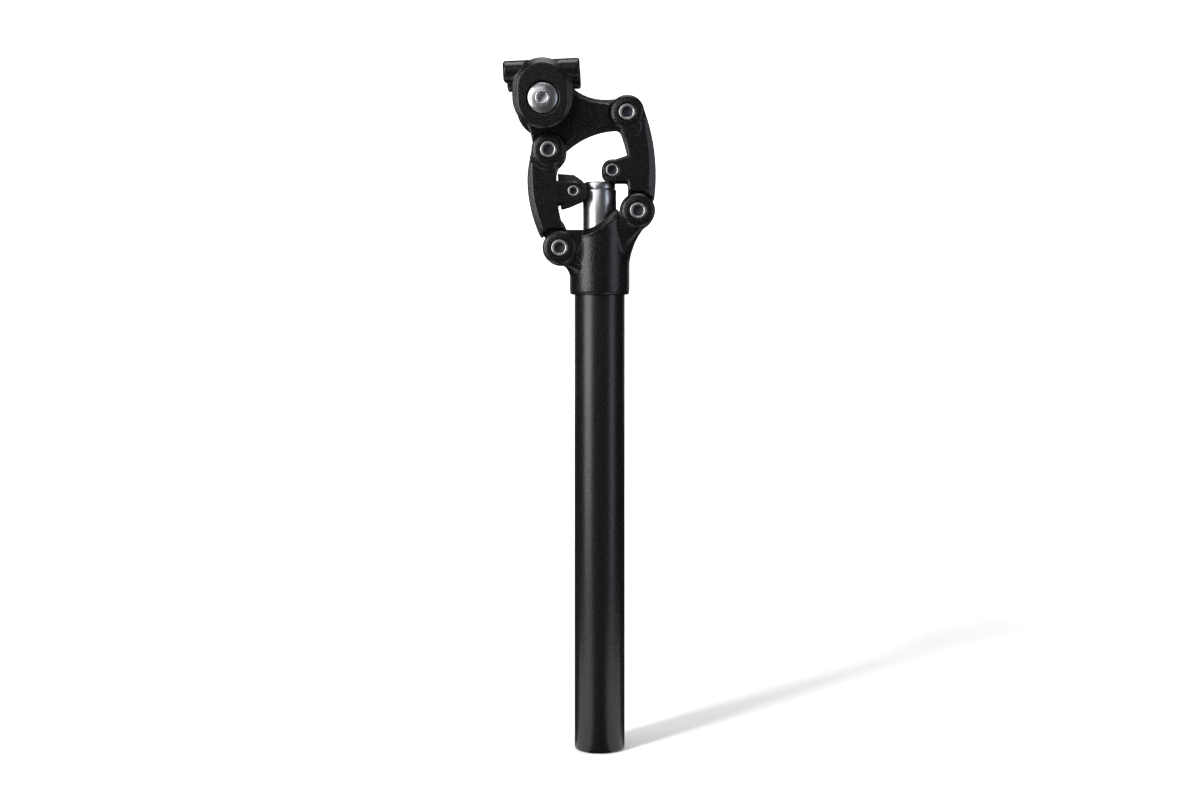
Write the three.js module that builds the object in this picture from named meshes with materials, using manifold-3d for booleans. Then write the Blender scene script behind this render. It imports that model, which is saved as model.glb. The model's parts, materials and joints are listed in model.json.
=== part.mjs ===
// Bicycle suspension seatpost: a straight post tube with a parallelogram head sprung by a piston.
// Millimetres. +X points to the front of the bicycle, +Y to its left side and +Z up.
// The origin is the centre of the post tube's lower end.
import * as THREE from 'three';
import { mergeVertices } from 'three/addons/utils/BufferGeometryUtils.js';
import Module from 'manifold-3d';

const wasm = await Module();
wasm.setup();

// ---- Driving dimensions -------------------------------------------------------------------

const GAP = 0.3; // assembly and running clearance between two pieces
const PAST = 1; // how far a cutting tool passes the face that it cuts
const SIDES = [['left', 1], ['right', -1]];

const TUBE_R = 13.6; // 27.2 mm post tube
const TUBE_BORE_R = 11.3;
const TUBE_TOP = 259; // end of the tube inside the yoke's collar

const CLAMP_AXIS = new THREE.Vector2(-29.8, 350); // clamp bolt axis, in x and z
const CLAMP_TILT = THREE.MathUtils.degToRad(2.6); // rails point up at the front by this much

const REAR_LOWER = new THREE.Vector2(-21.3, 272.3); // pivots of the parallelogram, in x and z
const FRONT_LOWER = new THREE.Vector2(20.4, 292);
const LINK = new THREE.Vector2(-5.8, 51.9); // from each lower pivot to its upper pivot
const REAR_UPPER = REAR_LOWER.clone().add(LINK);
const FRONT_UPPER = FRONT_LOWER.clone().add(LINK);

const BOSS_R = 9.1; // round bosses at the four pivots
const BOSS_Y = 17; // outer face of a boss
const BOSS_EDGE = 0.8;
const PANEL_Y = 15; // outer face of a link's side panel
const FORK_Y = 11.5; // inner face of a fork's two ears
const TONGUE_Y = 10.2; // side face of a tongue held in a fork
const FLANGE_Y = [10.5, 11.2]; // bush flange between tongue and ear
const TONGUE_R = 8.8;
const FRONT_TONGUE_R = 9.8; // the front tongue's thicker inner side

// Cross pins: shank and head radius, seat and face of the head in Y, and hexagon size.
const PIVOT_AXLE = { radius: 3.6, head: 4.4, seat: 14.5, face: 16.6, hex: 4.8 };
const ROLLER_AXLE = { radius: 2.4, head: 3.4, seat: 12.8, face: 14.7, hex: 4 };
const BUMPER_AXLE = { radius: 1.9, head: 2.9, seat: 12.8, face: 14.7, hex: 3 };
const BUSH_R = 5; // outside of a pivot bush

const PISTON_R = 9;
const PISTON_TOP = 307.9; // top of the cap, where the roller rests
const ROLLER_R = 5.3;
const ROLLER_PIN = new THREE.Vector2(-13.7, 21.5); // from the front lower pivot
const BUMPER_PIN = new THREE.Vector2(7.4, 30.2); // from the rear lower pivot
const ARM_EAR_Y = 8.9; // inner face of the ears that hold the roller and the bumper

const RAIL_R = 3.5; // 7 mm saddle rails
const RAIL_Y = 22; // half the 44 mm between the rails
const RAIL_RISE = 15; // rail centre above the clamp bolt axis
const CRADLE_LENGTH = 40.4;
const CRADLE_R = 5.6;

// ---- Solid helpers ------------------------------------------------------------------------

function asSolid(geometry) {
  const bare = geometry.clone();
  bare.deleteAttribute('normal');
  bare.deleteAttribute('uv');
  const welded = mergeVertices(bare, 1e-4);
  const corners = welded.index.array;
  const faces = [];
  for (let i = 0; i < corners.length; i += 3) {
    const [a, b, c] = corners.slice(i, i + 3);
    if (a !== b && b !== c && c !== a) {
      faces.push(a, b, c);
    }
  }
  return new wasm.Manifold(new wasm.Mesh({
    numProp: 3,
    vertProperties: new Float32Array(welded.attributes.position.array),
    triVerts: new Uint32Array(faces),
  }));
}

function asGeometry(solid) {
  const mesh = solid.getMesh();
  const geometry = new THREE.BufferGeometry();
  geometry.setAttribute('position', new THREE.BufferAttribute(mesh.vertProperties, 3));
  geometry.setIndex(new THREE.BufferAttribute(mesh.triVerts, 1));
  const flat = geometry.toNonIndexed();
  flat.computeVertexNormals();
  return flat;
}

function join(...solids) {
  return solids.reduce((whole, next) => whole.add(next));
}

function cut(base, ...tools) {
  return tools.reduce((left, tool) => left.subtract(tool), base);
}

// An outline in x and z, pushed along Y, with its edges chamfered.
function plate(outline, yMin, yMax, chamfer = 0, curveSegments = 6) {
  const geometry = new THREE.ExtrudeGeometry(outline, {
    depth: yMax - yMin - 2 * chamfer,
    bevelEnabled: chamfer > 0,
    bevelThickness: chamfer,
    bevelSize: chamfer,
    bevelOffset: -chamfer,
    bevelSegments: 1,
    curveSegments,
  });
  geometry.rotateX(Math.PI / 2);
  geometry.translate(0, yMax - chamfer, 0);
  return asSolid(geometry);
}

// The same plate on both sides of the middle plane, from yMin to yMax on each.
function platePair(outline, yMin, yMax, chamfer = 0) {
  return join(plate(outline, yMin, yMax, chamfer), plate(outline, -yMax, -yMin, chamfer));
}

function polygon(points) {
  return new THREE.Shape(points.map(([x, z]) => new THREE.Vector2(x, z)));
}

// A profile of [radius, height] pairs turned about its own axis, in counter-clockwise order.
function turned(profile, segments) {
  const points = profile.map(([radius, height]) => new THREE.Vector2(radius, height));
  return new THREE.LatheGeometry(points, segments);
}

function turnedAboutZ(profile, segments = 32) {
  return asSolid(turned(profile, segments).rotateX(Math.PI / 2));
}

function turnedAboutY(profile, centre = new THREE.Vector2(), segments = 20) {
  return asSolid(turned(profile, segments).translate(centre.x, 0, centre.y));
}

// A ring profile closed on itself, from an inner to an outer radius.
function ring(inner, outer, low, high) {
  return [[inner, low], [outer, low], [outer, high], [inner, high], [inner, low]];
}

// A solid round bar across the bicycle, with chamfered ends.
function drum(centre, radius, yMin, yMax, chamfer = 0, segments = 24) {
  const profile = [[0, yMin], [radius - chamfer, yMin], [radius, yMin + chamfer]];
  profile.push([radius, yMax - chamfer], [radius - chamfer, yMax], [0, yMax]);
  const open = chamfer > 0 ? profile : [[0, yMin], [radius, yMin], [radius, yMax], [0, yMax]];
  return turnedAboutY(open, centre, segments);
}

function drumPair(centre, radius, yMin, yMax, chamfer = 0, segments = 24) {
  const outer = drum(centre, radius, yMin, yMax, chamfer, segments);
  return join(outer, drum(centre, radius, -yMax, -yMin, chamfer, segments));
}

// A six-sided socket across the bicycle, given by its size across the flats.
function hexSocket(centre, acrossFlats, yMin, yMax) {
  return drum(centre, acrossFlats / Math.sqrt(3), yMin, yMax, 0, 6);
}

// A pie slice around a centre, between two directions in degrees.
function slice(centre, radius, from, to) {
  const points = [[centre.x, centre.y]];
  const steps = 4;
  for (let i = 0; i <= steps; i += 1) {
    const angle = THREE.MathUtils.degToRad(from + (to - from) * i / steps);
    points.push([centre.x + radius * Math.cos(angle), centre.y + radius * Math.sin(angle)]);
  }
  return polygon(points);
}

function polar(centre, radius, degrees) {
  const angle = THREE.MathUtils.degToRad(degrees);
  return [centre.x + radius * Math.cos(angle), centre.y + radius * Math.sin(angle)];
}

// ---- Finishes -----------------------------------------------------------------------------

const finishes = {
  powderCoat: { color: 0x151517, roughness: 0.45, metalness: 0.1 },
  anodisedTube: { color: 0x1b1b1d, roughness: 0.4, metalness: 0.6 },
  chrome: { color: 0xd9dbe0, roughness: 0.06, metalness: 1 },
  steel: { color: 0x9a9a9c, roughness: 0.3, metalness: 1 },
  springSteel: { color: 0x4a4a50, roughness: 0.35, metalness: 1 },
  polymer: { color: 0x26262a, roughness: 0.55, metalness: 0 },
  rubber: { color: 0x101011, roughness: 0.8, metalness: 0 },
};

function piece(name, solid, finish) {
  const mesh = new THREE.Mesh(asGeometry(solid), new THREE.MeshStandardMaterial(finishes[finish]));
  mesh.name = name;
  return mesh;
}

function groupAt(pivot) {
  const group = new THREE.Group();
  group.position.set(pivot.x, 0, pivot.y);
  return group;
}

// ---- Post tube, preload plug and spring ---------------------------------------------------

const PLUG_FOOT = 1;
const PLUG_TOP = 13;
const PLUG_HEX_R = 4.6;
const PLUG_HEX_DEPTH = 3.6;
const SPACER_TOP = 24;
const SPIGOT_R = 6; // pegs that centre the spring's two ends
const SPIGOT_FOOT_R = 6.6;
const LOWER_SPIGOT = 10;
const UPPER_SPIGOT = 9;
const SPRING_FOOT = SPACER_TOP + GAP;
const FLANGE_TOP = TUBE_TOP - GAP;
const FLANGE_HEIGHT = 4;
const FLANGE_FOOT = FLANGE_TOP - FLANGE_HEIGHT;
const SEAT_FOOT = FLANGE_FOOT - GAP - FLANGE_HEIGHT;
const SPRING_TOP = SEAT_FOOT - GAP;
const SPRING_WIRE_R = 1.7;
const SPRING_COIL_R = 8.9;
const SPRING_TURNS = 16;

function postTube() {
  const edge = 0.7;
  return turnedAboutZ([
    [TUBE_BORE_R, 0], [TUBE_R - edge, 0], [TUBE_R, edge],
    [TUBE_R, TUBE_TOP], [TUBE_BORE_R, TUBE_TOP], [TUBE_BORE_R, 0],
  ], 32);
}

function preloadPlug() {
  const edge = 0.6;
  const outer = TUBE_BORE_R - GAP;
  const socketTop = PLUG_FOOT + PLUG_HEX_DEPTH;
  const body = turnedAboutZ([
    [0, PLUG_FOOT], [outer - edge, PLUG_FOOT], [outer, PLUG_FOOT + edge],
    [outer, PLUG_TOP], [0, PLUG_TOP],
  ], 32);
  const socket = turnedAboutZ([
    [0, 0], [PLUG_HEX_R, 0], [PLUG_HEX_R, socketTop], [0, socketTop],
  ], 6);
  return cut(body, socket);
}

function springSpacer() {
  return turnedAboutZ([
    [0, PLUG_TOP + GAP], [TUBE_BORE_R - GAP, PLUG_TOP + GAP], [TUBE_BORE_R - GAP, SPACER_TOP],
    [SPIGOT_FOOT_R, SPACER_TOP], [SPIGOT_R, SPACER_TOP + LOWER_SPIGOT],
    [0, SPACER_TOP + LOWER_SPIGOT],
  ], 24);
}

function springSeat() {
  return turnedAboutZ([
    [0, SEAT_FOOT - UPPER_SPIGOT], [SPIGOT_R, SEAT_FOOT - UPPER_SPIGOT],
    [SPIGOT_FOOT_R, SEAT_FOOT], [TUBE_BORE_R - GAP, SEAT_FOOT],
    [TUBE_BORE_R - GAP, FLANGE_FOOT - GAP], [0, FLANGE_FOOT - GAP],
  ], 24);
}

// A helix whose first and last turns lie flat against the seats.
class SpringPath extends THREE.Curve {
  getPoint(t, target = new THREE.Vector3()) {
    const angle = 2 * Math.PI * SPRING_TURNS * t;
    const flatTurn = 1.1 / SPRING_TURNS;
    const rise = THREE.MathUtils.clamp((t - flatTurn) / (1 - 2 * flatTurn), 0, 1);
    const low = SPRING_FOOT + SPRING_WIRE_R;
    const high = SPRING_TOP - SPRING_WIRE_R;
    const dead = 2 * SPRING_WIRE_R + GAP;
    const lift = dead * THREE.MathUtils.clamp(t / flatTurn, 0, 1);
    const drop = dead * THREE.MathUtils.clamp((1 - t) / flatTurn, 0, 1);
    const height = low + lift + (high - low - 2 * dead) * rise + (dead - drop);
    return target.set(SPRING_COIL_R * Math.cos(angle), SPRING_COIL_R * Math.sin(angle), height);
  }
}

function spring() {
  const wire = new THREE.Shape();
  const sides = 6;
  const stepsPerTurn = 9;
  for (let i = 0; i < sides; i += 1) {
    const angle = 2 * Math.PI * i / sides;
    const x = SPRING_WIRE_R * Math.cos(angle);
    const y = SPRING_WIRE_R * Math.sin(angle);
    if (i === 0) {
      wire.moveTo(x, y);
    } else {
      wire.lineTo(x, y);
    }
  }
  wire.closePath();
  return asSolid(new THREE.ExtrudeGeometry(wire, {
    steps: SPRING_TURNS * stepsPerTurn,
    extrudePath: new SpringPath(),
  }));
}

// ---- Piston -------------------------------------------------------------------------------

const CAP_HEIGHT = 3.8;
const CAP_SPIGOT = 6; // depth of the cap's plug in the piston's bore
const PISTON_BORE_R = 7.2;

function pistonTube() {
  const top = PISTON_TOP - CAP_HEIGHT - GAP;
  const edge = 0.5;
  return turnedAboutZ([
    [PISTON_BORE_R, FLANGE_FOOT], [TUBE_BORE_R - GAP, FLANGE_FOOT], [TUBE_BORE_R - GAP, FLANGE_TOP],
    [PISTON_R, FLANGE_TOP], [PISTON_R, top - edge], [PISTON_R - edge, top], [PISTON_BORE_R, top],
    [PISTON_BORE_R, FLANGE_FOOT],
  ], 32);
}

function pistonCap() {
  const foot = PISTON_TOP - CAP_HEIGHT;
  const outer = PISTON_R - 0.6;
  const edge = 0.7;
  const spigot = PISTON_BORE_R - GAP;
  return turnedAboutZ([
    [0, foot - CAP_SPIGOT], [spigot, foot - CAP_SPIGOT], [spigot, foot], [outer, foot],
    [outer, PISTON_TOP - edge], [outer - edge, PISTON_TOP], [0, PISTON_TOP],
  ], 32);
}

// ---- Yoke: collar, rear fork and front fork ----------------------------------------------

const COLLAR_FOOT = 247.5;
const COLLAR_R = 16.2;
const YOKE_STEP = 262.4; // shoulder above the bush's flange
const YOKE_BORE_R = 11;
const LUG_Y = 14.5;
const REAR_LUG_TOP = 282;
const SLOT_ROOM = 0.6; // clearance around a tongue inside a fork
const NECK_REACH = 17; // how far a link's neck is cleared from its pivot
const GUIDE_TOP = 277;
const SEAL_TOP = 281.4;

// The collar's rim is low behind and sweeps up to the front pivot.
function aboveRim() {
  const region = new THREE.Shape();
  region.moveTo(-30, REAR_LUG_TOP);
  region.lineTo(-10, REAR_LUG_TOP);
  region.quadraticCurveTo(-1, 283, 12, 294.3);
  region.lineTo(30, 310);
  region.lineTo(-30, 310);
  region.closePath();
  return plate(region, -25, 25);
}

function collar() {
  const bore = TUBE_R + GAP;
  const body = turnedAboutZ([
    [YOKE_BORE_R, YOKE_STEP], [bore, YOKE_STEP], [bore, COLLAR_FOOT], [COLLAR_R - 1, COLLAR_FOOT],
    [COLLAR_R - 0.3, COLLAR_FOOT + 0.8], [COLLAR_R, COLLAR_FOOT + 3], [COLLAR_R, 300],
    [YOKE_BORE_R, 300], [YOKE_BORE_R, YOKE_STEP],
  ], 32);
  return cut(body, aboveRim());
}

function rearLug() {
  const lug = new THREE.Shape();
  lug.moveTo(REAR_LOWER.x + 3, REAR_LUG_TOP);
  lug.absarc(REAR_LOWER.x, REAR_LOWER.y, BOSS_R - 0.4, Math.PI * 0.4, Math.PI * 1.5, false);
  lug.quadraticCurveTo(-16.5, 262.5, -15.6, 256);
  lug.lineTo(-9, 256);
  lug.lineTo(-9, REAR_LUG_TOP);
  lug.closePath();
  return join(plate(lug, -LUG_Y, LUG_Y, 0.8), bosses(REAR_LOWER));
}

function frontLug() {
  const lug = new THREE.Shape();
  lug.absarc(FRONT_LOWER.x, FRONT_LOWER.y, BOSS_R - 0.4, Math.PI * 0.95, -Math.PI * 0.28, true);
  lug.bezierCurveTo(20.5, 280, 16.2, 272, 15.8, 263);
  lug.lineTo(6, 263);
  lug.lineTo(6, 288);
  lug.lineTo(10.5, 292);
  lug.closePath();
  return join(plate(lug, -LUG_Y, LUG_Y, 0.8), bosses(FRONT_LOWER));
}

// Room in a fork for a link's tongue and for its neck, which swings between two directions.
function forkSlot(centre, tongueR, from, to) {
  return join(
    drum(centre, tongueR + SLOT_ROOM, -FORK_Y, FORK_Y),
    plate(slice(centre, NECK_REACH, from, to), -FORK_Y, FORK_Y),
  );
}

function bosses(centre) {
  return drumPair(centre, BOSS_R, FORK_Y, BOSS_Y, BOSS_EDGE);
}

// A pin's bore through both ears of a fork, with the counterbores that sink its two heads.
function pinBore(centre, size, faceY, headRoom) {
  return join(
    drum(centre, size.radius + GAP, -faceY - PAST, faceY + PAST, 0, 16),
    drumPair(centre, size.head + headRoom, size.seat, faceY + PAST, 0, 20),
  );
}

function axleBore(centre) {
  return pinBore(centre, PIVOT_AXLE, BOSS_Y, 0.5);
}

function yoke() {
  const below = COLLAR_FOOT - PAST;
  const above = REAR_LOWER.y + 50;
  const inside = turnedAboutZ([
    [0, below], [TUBE_R + GAP, below], [TUBE_R + GAP, YOKE_STEP], [YOKE_BORE_R, YOKE_STEP],
    [YOKE_BORE_R, above], [0, above],
  ], 32);
  return cut(
    join(collar(), rearLug(), frontLug()),
    inside,
    forkSlot(REAR_LOWER, TONGUE_R, 58, 216),
    forkSlot(FRONT_LOWER, FRONT_TONGUE_R, 30, 176),
    axleBore(REAR_LOWER),
    axleBore(FRONT_LOWER),
  );
}

function guideBush() {
  const inner = PISTON_R + GAP;
  const outer = YOKE_BORE_R - GAP;
  const flange = TUBE_R - 0.2;
  return turnedAboutZ([
    [inner, TUBE_TOP + GAP], [flange, TUBE_TOP + GAP], [flange, YOKE_STEP - GAP],
    [outer, YOKE_STEP - GAP], [outer, GUIDE_TOP], [inner, GUIDE_TOP], [inner, TUBE_TOP + GAP],
  ], 24);
}

// A seal whose lip leans in towards the piston.
function wiperSeal() {
  const inner = PISTON_R + 0.6;
  const outer = YOKE_BORE_R - GAP;
  const foot = GUIDE_TOP + GAP;
  return turnedAboutZ([
    [inner, foot], [outer, foot], [outer, SEAL_TOP - 1.2], [inner + 0.3, SEAL_TOP],
    [inner - 0.35, SEAL_TOP], [inner, SEAL_TOP - 1.9], [inner, foot],
  ], 24);
}

// ---- Links, each drawn from its lower pivot -----------------------------------------------

const ORIGIN = new THREE.Vector2();
const EAR_SLOT_R = TONGUE_R + 0.5;
const EDGE = 0.7; // small chamfer of a link's edges
const REAR_BEVEL = 3.1; // wide chamfers of the links' outer edges
const FRONT_BEVEL = 4.4;
const SHOULDER = 0.8; // step below an upper boss, proud of the side panel

// The fork slot at a link's upper end, open upwards and forwards so that the head can turn in it.
function upperSlot() {
  return join(
    drum(LINK, EAR_SLOT_R, -FORK_Y, FORK_Y),
    plate(slice(LINK, NECK_REACH, -62, 184), -FORK_Y, FORK_Y),
  );
}

function tongueBore() {
  return drum(ORIGIN, BUSH_R + GAP, -TONGUE_Y - PAST, TONGUE_Y + PAST, 0, 16);
}

function rearOuterEdge(shape) {
  shape.bezierCurveTo(-14.6, 15, -17.6, 27, -17.1, 38);
  shape.bezierCurveTo(-17, 43, -15.6, 47, LINK.x - BOSS_R, LINK.y);
}

function rearLink() {
  const body = new THREE.Shape();
  body.moveTo(-10.3, 5.8);
  rearOuterEdge(body);
  body.absarc(LINK.x, LINK.y, BOSS_R - 0.4, Math.PI, -Math.PI * 0.1, true);
  body.quadraticCurveTo(-2.2, 44, -2.2, 39);
  body.quadraticCurveTo(-2.4, 20, 2.4, 10.1);
  body.lineTo(-5.9, 10.1);
  body.closePath();

  const bevelled = new THREE.Shape();
  bevelled.moveTo(-10.3, 5.8);
  rearOuterEdge(bevelled);
  bevelled.lineTo(-12, 70);
  bevelled.lineTo(30, 70);
  bevelled.lineTo(30, -5);
  bevelled.lineTo(-5, -5);
  bevelled.closePath();

  const ear = new THREE.Shape();
  ear.moveTo(-4, 23);
  ear.lineTo(9.2, 25.1);
  ear.absarc(BUMPER_PIN.x, BUMPER_PIN.y, 5.4, -Math.PI * 0.39, Math.PI * 0.48, false);
  ear.lineTo(-4, 35.6);
  ear.closePath();

  const neck = polygon([[-7.4, 4.6], [5, 7], [2.2, 13], [-1.6, 18], [-11, 18], [-10.2, 8.6]]);
  const panel = plate(body, -PANEL_Y, PANEL_Y, EDGE).intersect(
    plate(bevelled, -PANEL_Y, PANEL_Y, REAR_BEVEL),
  );
  const shoulder = drumPair(LINK, BOSS_R + 1.9, PANEL_Y - 2, PANEL_Y + SHOULDER, 0.6);
  const shoulderArea = plate(slice(LINK, NECK_REACH, 215, 285), -BOSS_Y, BOSS_Y);
  const whole = join(
    cut(panel, upperSlot()),
    cut(shoulder.intersect(shoulderArea), upperSlot()),
    bosses(LINK),
    platePair(ear, ARM_EAR_Y, PANEL_Y, 0.6),
    drum(ORIGIN, TONGUE_R, -TONGUE_Y, TONGUE_Y),
    plate(neck, -TONGUE_Y, TONGUE_Y),
  );
  return cut(whole, tongueBore(), axleBore(LINK), pinBore(BUMPER_PIN, BUMPER_AXLE, PANEL_Y, GAP));
}

function frontOuterEdge(shape) {
  shape.bezierCurveTo(10.2, 16, 9.8, 30, 6.6, 42.5);
  shape.bezierCurveTo(5.6, 47, 4.3, 50, LINK.x + BOSS_R, LINK.y + 1.5);
}

function frontLink() {
  const body = new THREE.Shape();
  body.moveTo(8.6, 5.6);
  frontOuterEdge(body);
  body.absarc(LINK.x, LINK.y, BOSS_R - 0.4, Math.PI * 0.05, Math.PI * 1.36, false);
  body.quadraticCurveTo(-6.9, 38, -5.4, 30);
  body.lineTo(-5.4, 16);
  body.lineTo(-4.8, 10.4);
  body.lineTo(2.2, 10.1);
  body.closePath();

  const bevelled = new THREE.Shape();
  bevelled.moveTo(8.6, 5.6);
  frontOuterEdge(bevelled);
  bevelled.lineTo(0, 70);
  bevelled.lineTo(-30, 70);
  bevelled.lineTo(-30, -5);
  bevelled.lineTo(7, -5);
  bevelled.closePath();

  const ear = new THREE.Shape();
  ear.moveTo(-4, 14.5);
  ear.lineTo(-4, 29.5);
  ear.lineTo(-6.5, 29);
  ear.lineTo(ROLLER_PIN.x + 1.4, ROLLER_PIN.y + 5.6);
  ear.absarc(ROLLER_PIN.x, ROLLER_PIN.y, 5.7, Math.PI * 0.45, Math.PI * 1.5, false);
  ear.lineTo(-6.2, 15.8);
  ear.closePath();

  const neck = polygon([[6.2, 6], polar(ORIGIN, 9.4, 42), [7.5, 15], [-4.9, 15], [-5.3, 8.2], [-4, 4]]);
  const panel = plate(body, -PANEL_Y, PANEL_Y, EDGE).intersect(
    plate(bevelled, -PANEL_Y, PANEL_Y, FRONT_BEVEL),
  );
  const step = polygon([[-11.5, 38.6], [4.5, 38.6], [4.5, 46], [-11.5, 46]]);
  const shoulder = plate(step, -PANEL_Y - SHOULDER, PANEL_Y + SHOULDER, 0.6).intersect(
    plate(body, -BOSS_Y, BOSS_Y),
  );
  const whole = join(
    cut(panel, upperSlot()),
    cut(shoulder, upperSlot()),
    bosses(LINK),
    platePair(ear, ARM_EAR_Y, PANEL_Y, 0.6),
    drum(ORIGIN, TONGUE_R, -TONGUE_Y, TONGUE_Y),
    plate(slice(ORIGIN, FRONT_TONGUE_R, 112, 172), -TONGUE_Y, TONGUE_Y),
    plate(neck, -TONGUE_Y, TONGUE_Y),
  );
  return cut(whole, tongueBore(), axleBore(LINK), pinBore(ROLLER_PIN, ROLLER_AXLE, PANEL_Y, GAP));
}

// ---- Roller, bumper and their pins --------------------------------------------------------

const THREAD_SHARE = 0.62; // a pin's tapped hole, as a share of its radius
const HEAD_EDGE = 0.4;
const PIN_HEX_DEPTH = 2.4;
const SCREW_HEX_DEPTH = 1.5;
const THREAD_START_Y = 2;
const SCREW_START_Y = 4;

// A pin whose head lies on the right and whose left end is drilled for a screw.
function pin(centre, size) {
  const shank = drum(centre, size.radius, -size.seat - GAP, size.seat - GAP, 0, 16);
  const head = drum(centre, size.head, -size.face, -size.seat - GAP, HEAD_EDGE, 16);
  const socket = hexSocket(centre, size.hex, -size.face - PAST, -size.face + PIN_HEX_DEPTH);
  const thread = drum(centre, size.radius * THREAD_SHARE, THREAD_START_Y, size.seat, 0, 8);
  return cut(join(shank, head), socket, thread);
}

function screw(centre, size) {
  const overlap = 0.2;
  const radius = size.radius * THREAD_SHARE - GAP;
  const shank = drum(centre, radius, SCREW_START_Y, size.seat + GAP + overlap, 0, 8);
  const head = drum(centre, size.head, size.seat + GAP, size.face, HEAD_EDGE, 16);
  const socket = hexSocket(centre, size.hex, size.face - SCREW_HEX_DEPTH, size.face + PAST);
  return cut(join(shank, head), socket);
}

function roller() {
  const half = ARM_EAR_Y - 0.5;
  const edge = 0.6;
  const bore = ROLLER_AXLE.radius + 1.8;
  return turnedAboutY([
    [bore, -half], [ROLLER_R - edge, -half], [ROLLER_R, -half + edge],
    [ROLLER_R, half - edge], [ROLLER_R - edge, half], [bore, half], [bore, -half],
  ], ROLLER_PIN, 24);
}

function rollerBush() {
  const half = ARM_EAR_Y - 0.4;
  const inner = ROLLER_AXLE.radius + GAP;
  return turnedAboutY(ring(inner, inner + 1.2, -half, half), ROLLER_PIN, 16);
}

// A rubber wedge between the rear link's ears, hollowed where it meets the piston.
function bumper() {
  const wedge = polygon([
    [-1.2, 39.6], [7.6, 39], [11.6, 36.3], [14.6, 33],
    [14.6, 26.8], [12.8, 25.6], [5.2, 22.3], [0.6, 21],
  ]);
  const body = plate(wedge, -ARM_EAR_Y + GAP, ARM_EAR_Y - GAP, 0.5);
  const hollow = PISTON_R + GAP;
  const piston = turnedAboutZ([[0, 0], [hollow, 0], [hollow, LINK.y], [0, LINK.y]], 32);
  const pinHole = drum(BUMPER_PIN, BUMPER_AXLE.radius + GAP, -FORK_Y, FORK_Y, 0, 16);
  return cut(body, piston.translate([-REAR_LOWER.x, 0, 0]), pinHole);
}

// ---- Pivot bushes -------------------------------------------------------------------------

const BUSH_FLANGE_R = 7.4;

function forSide(solid, side) {
  return side > 0 ? solid : solid.mirror([0, 1, 0]);
}

// One of the two flanged bushes that meet, with a small gap, in the middle of a tongue.
function pivotBush(centre, side) {
  const inner = PIVOT_AXLE.radius + GAP;
  const start = 0.4;
  return forSide(turnedAboutY([
    [inner, start], [BUSH_R, start], [BUSH_R, FLANGE_Y[0]], [BUSH_FLANGE_R, FLANGE_Y[0]],
    [BUSH_FLANGE_R, FLANGE_Y[1]], [inner, FLANGE_Y[1]], [inner, start],
  ], centre, 12), side);
}

// ---- Saddle head, drawn from the rear upper pivot -----------------------------------------

const HEAD_FRONT = FRONT_UPPER.clone().sub(REAR_UPPER);
const HEAD_CLAMP = CLAMP_AXIS.clone().sub(REAR_UPPER);
const HEAD_Y = 10.9;
const WEB_BEVEL = 3.6;
const RELIEF_R = BOSS_R + 0.7; // room for the links' bosses beside the head
const BARREL_R = 14.2;
const CLAMP_BOLT_R = 3.9;
const BARREL_NUT_R = 4.9; // threaded sleeve of the clamp nut, on the left side only

function head() {
  const web = new THREE.Shape();
  web.moveTo(-8.5, 2);
  web.absarc(0, 0, TONGUE_R - 0.2, Math.PI * 0.95, 0, false);
  web.bezierCurveTo(14, 5, 24, 12, HEAD_FRONT.x - 3, HEAD_FRONT.y - 8);
  web.absarc(HEAD_FRONT.x, HEAD_FRONT.y, TONGUE_R - 0.2, -Math.PI * 0.6, Math.PI * 0.62, false);
  web.bezierCurveTo(30, 26.2, 20, 26, 11.2, 34.6);
  web.lineTo(-4, 40);
  web.lineTo(-15, 30);
  web.bezierCurveTo(-15.6, 18, -9, 12, -8.5, 2);
  web.closePath();
  const whole = join(
    plate(web, -HEAD_Y, HEAD_Y, WEB_BEVEL),
    drum(HEAD_CLAMP, BARREL_R, -HEAD_Y, HEAD_Y, 0.6, 28),
    drum(ORIGIN, TONGUE_R, -TONGUE_Y, TONGUE_Y),
    drum(HEAD_FRONT, TONGUE_R, -TONGUE_Y, TONGUE_Y),
  );
  const sideRelief = join(
    drumPair(ORIGIN, RELIEF_R, TONGUE_Y, HEAD_Y + PAST),
    drumPair(HEAD_FRONT, RELIEF_R, TONGUE_Y, HEAD_Y + PAST),
  );
  return cut(
    whole,
    sideRelief,
    tongueBore(),
    tongueBore().translate([HEAD_FRONT.x, 0, HEAD_FRONT.y]),
    drum(HEAD_CLAMP, BARREL_NUT_R + GAP, -HEAD_Y - PAST, HEAD_Y + PAST, 0, 16),
  );
}

// ---- Saddle clamp, drawn from the clamp bolt axis -----------------------------------------

const SPLIT_Y = [RAIL_Y - GAP, RAIL_Y + GAP]; // faces of the inner and the outer clamp halves
const CLAMP_INNER_Y = HEAD_Y + GAP;
const DISC_R = 15.9;
const DISC_FACE_Y = 29;
const DISC_RISE = 5.3; // the disc is two circles wide apart by this much, one above the other
const DISC_BEVEL = 2.2;
const RECESS_R = 8.7;
const RECESS_Y = 26.8;
const CLAMP_HEAD_R = 7.6;
const CLAMP_HEAD_Y = [28.2, 30.2]; // seat and face of the bolt's head and of the nut
const CLAMP_HEX = [5, 6]; // hexagon in the bolt and in the nut
const DISH_R = 4.2; // the head's dish rises to a ring around the hexagon
const RING_R = 3.7;
const WASHER_Y = 27.6;
const BOLT_END_Y = 25;
const BARREL_NUT_Y = 12; // inner end of the nut's sleeve
const HUB_R = 13; // round hub of an inner clamp
const OUT = 40; // larger than any half size of the clamp, for the cutting tools

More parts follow.
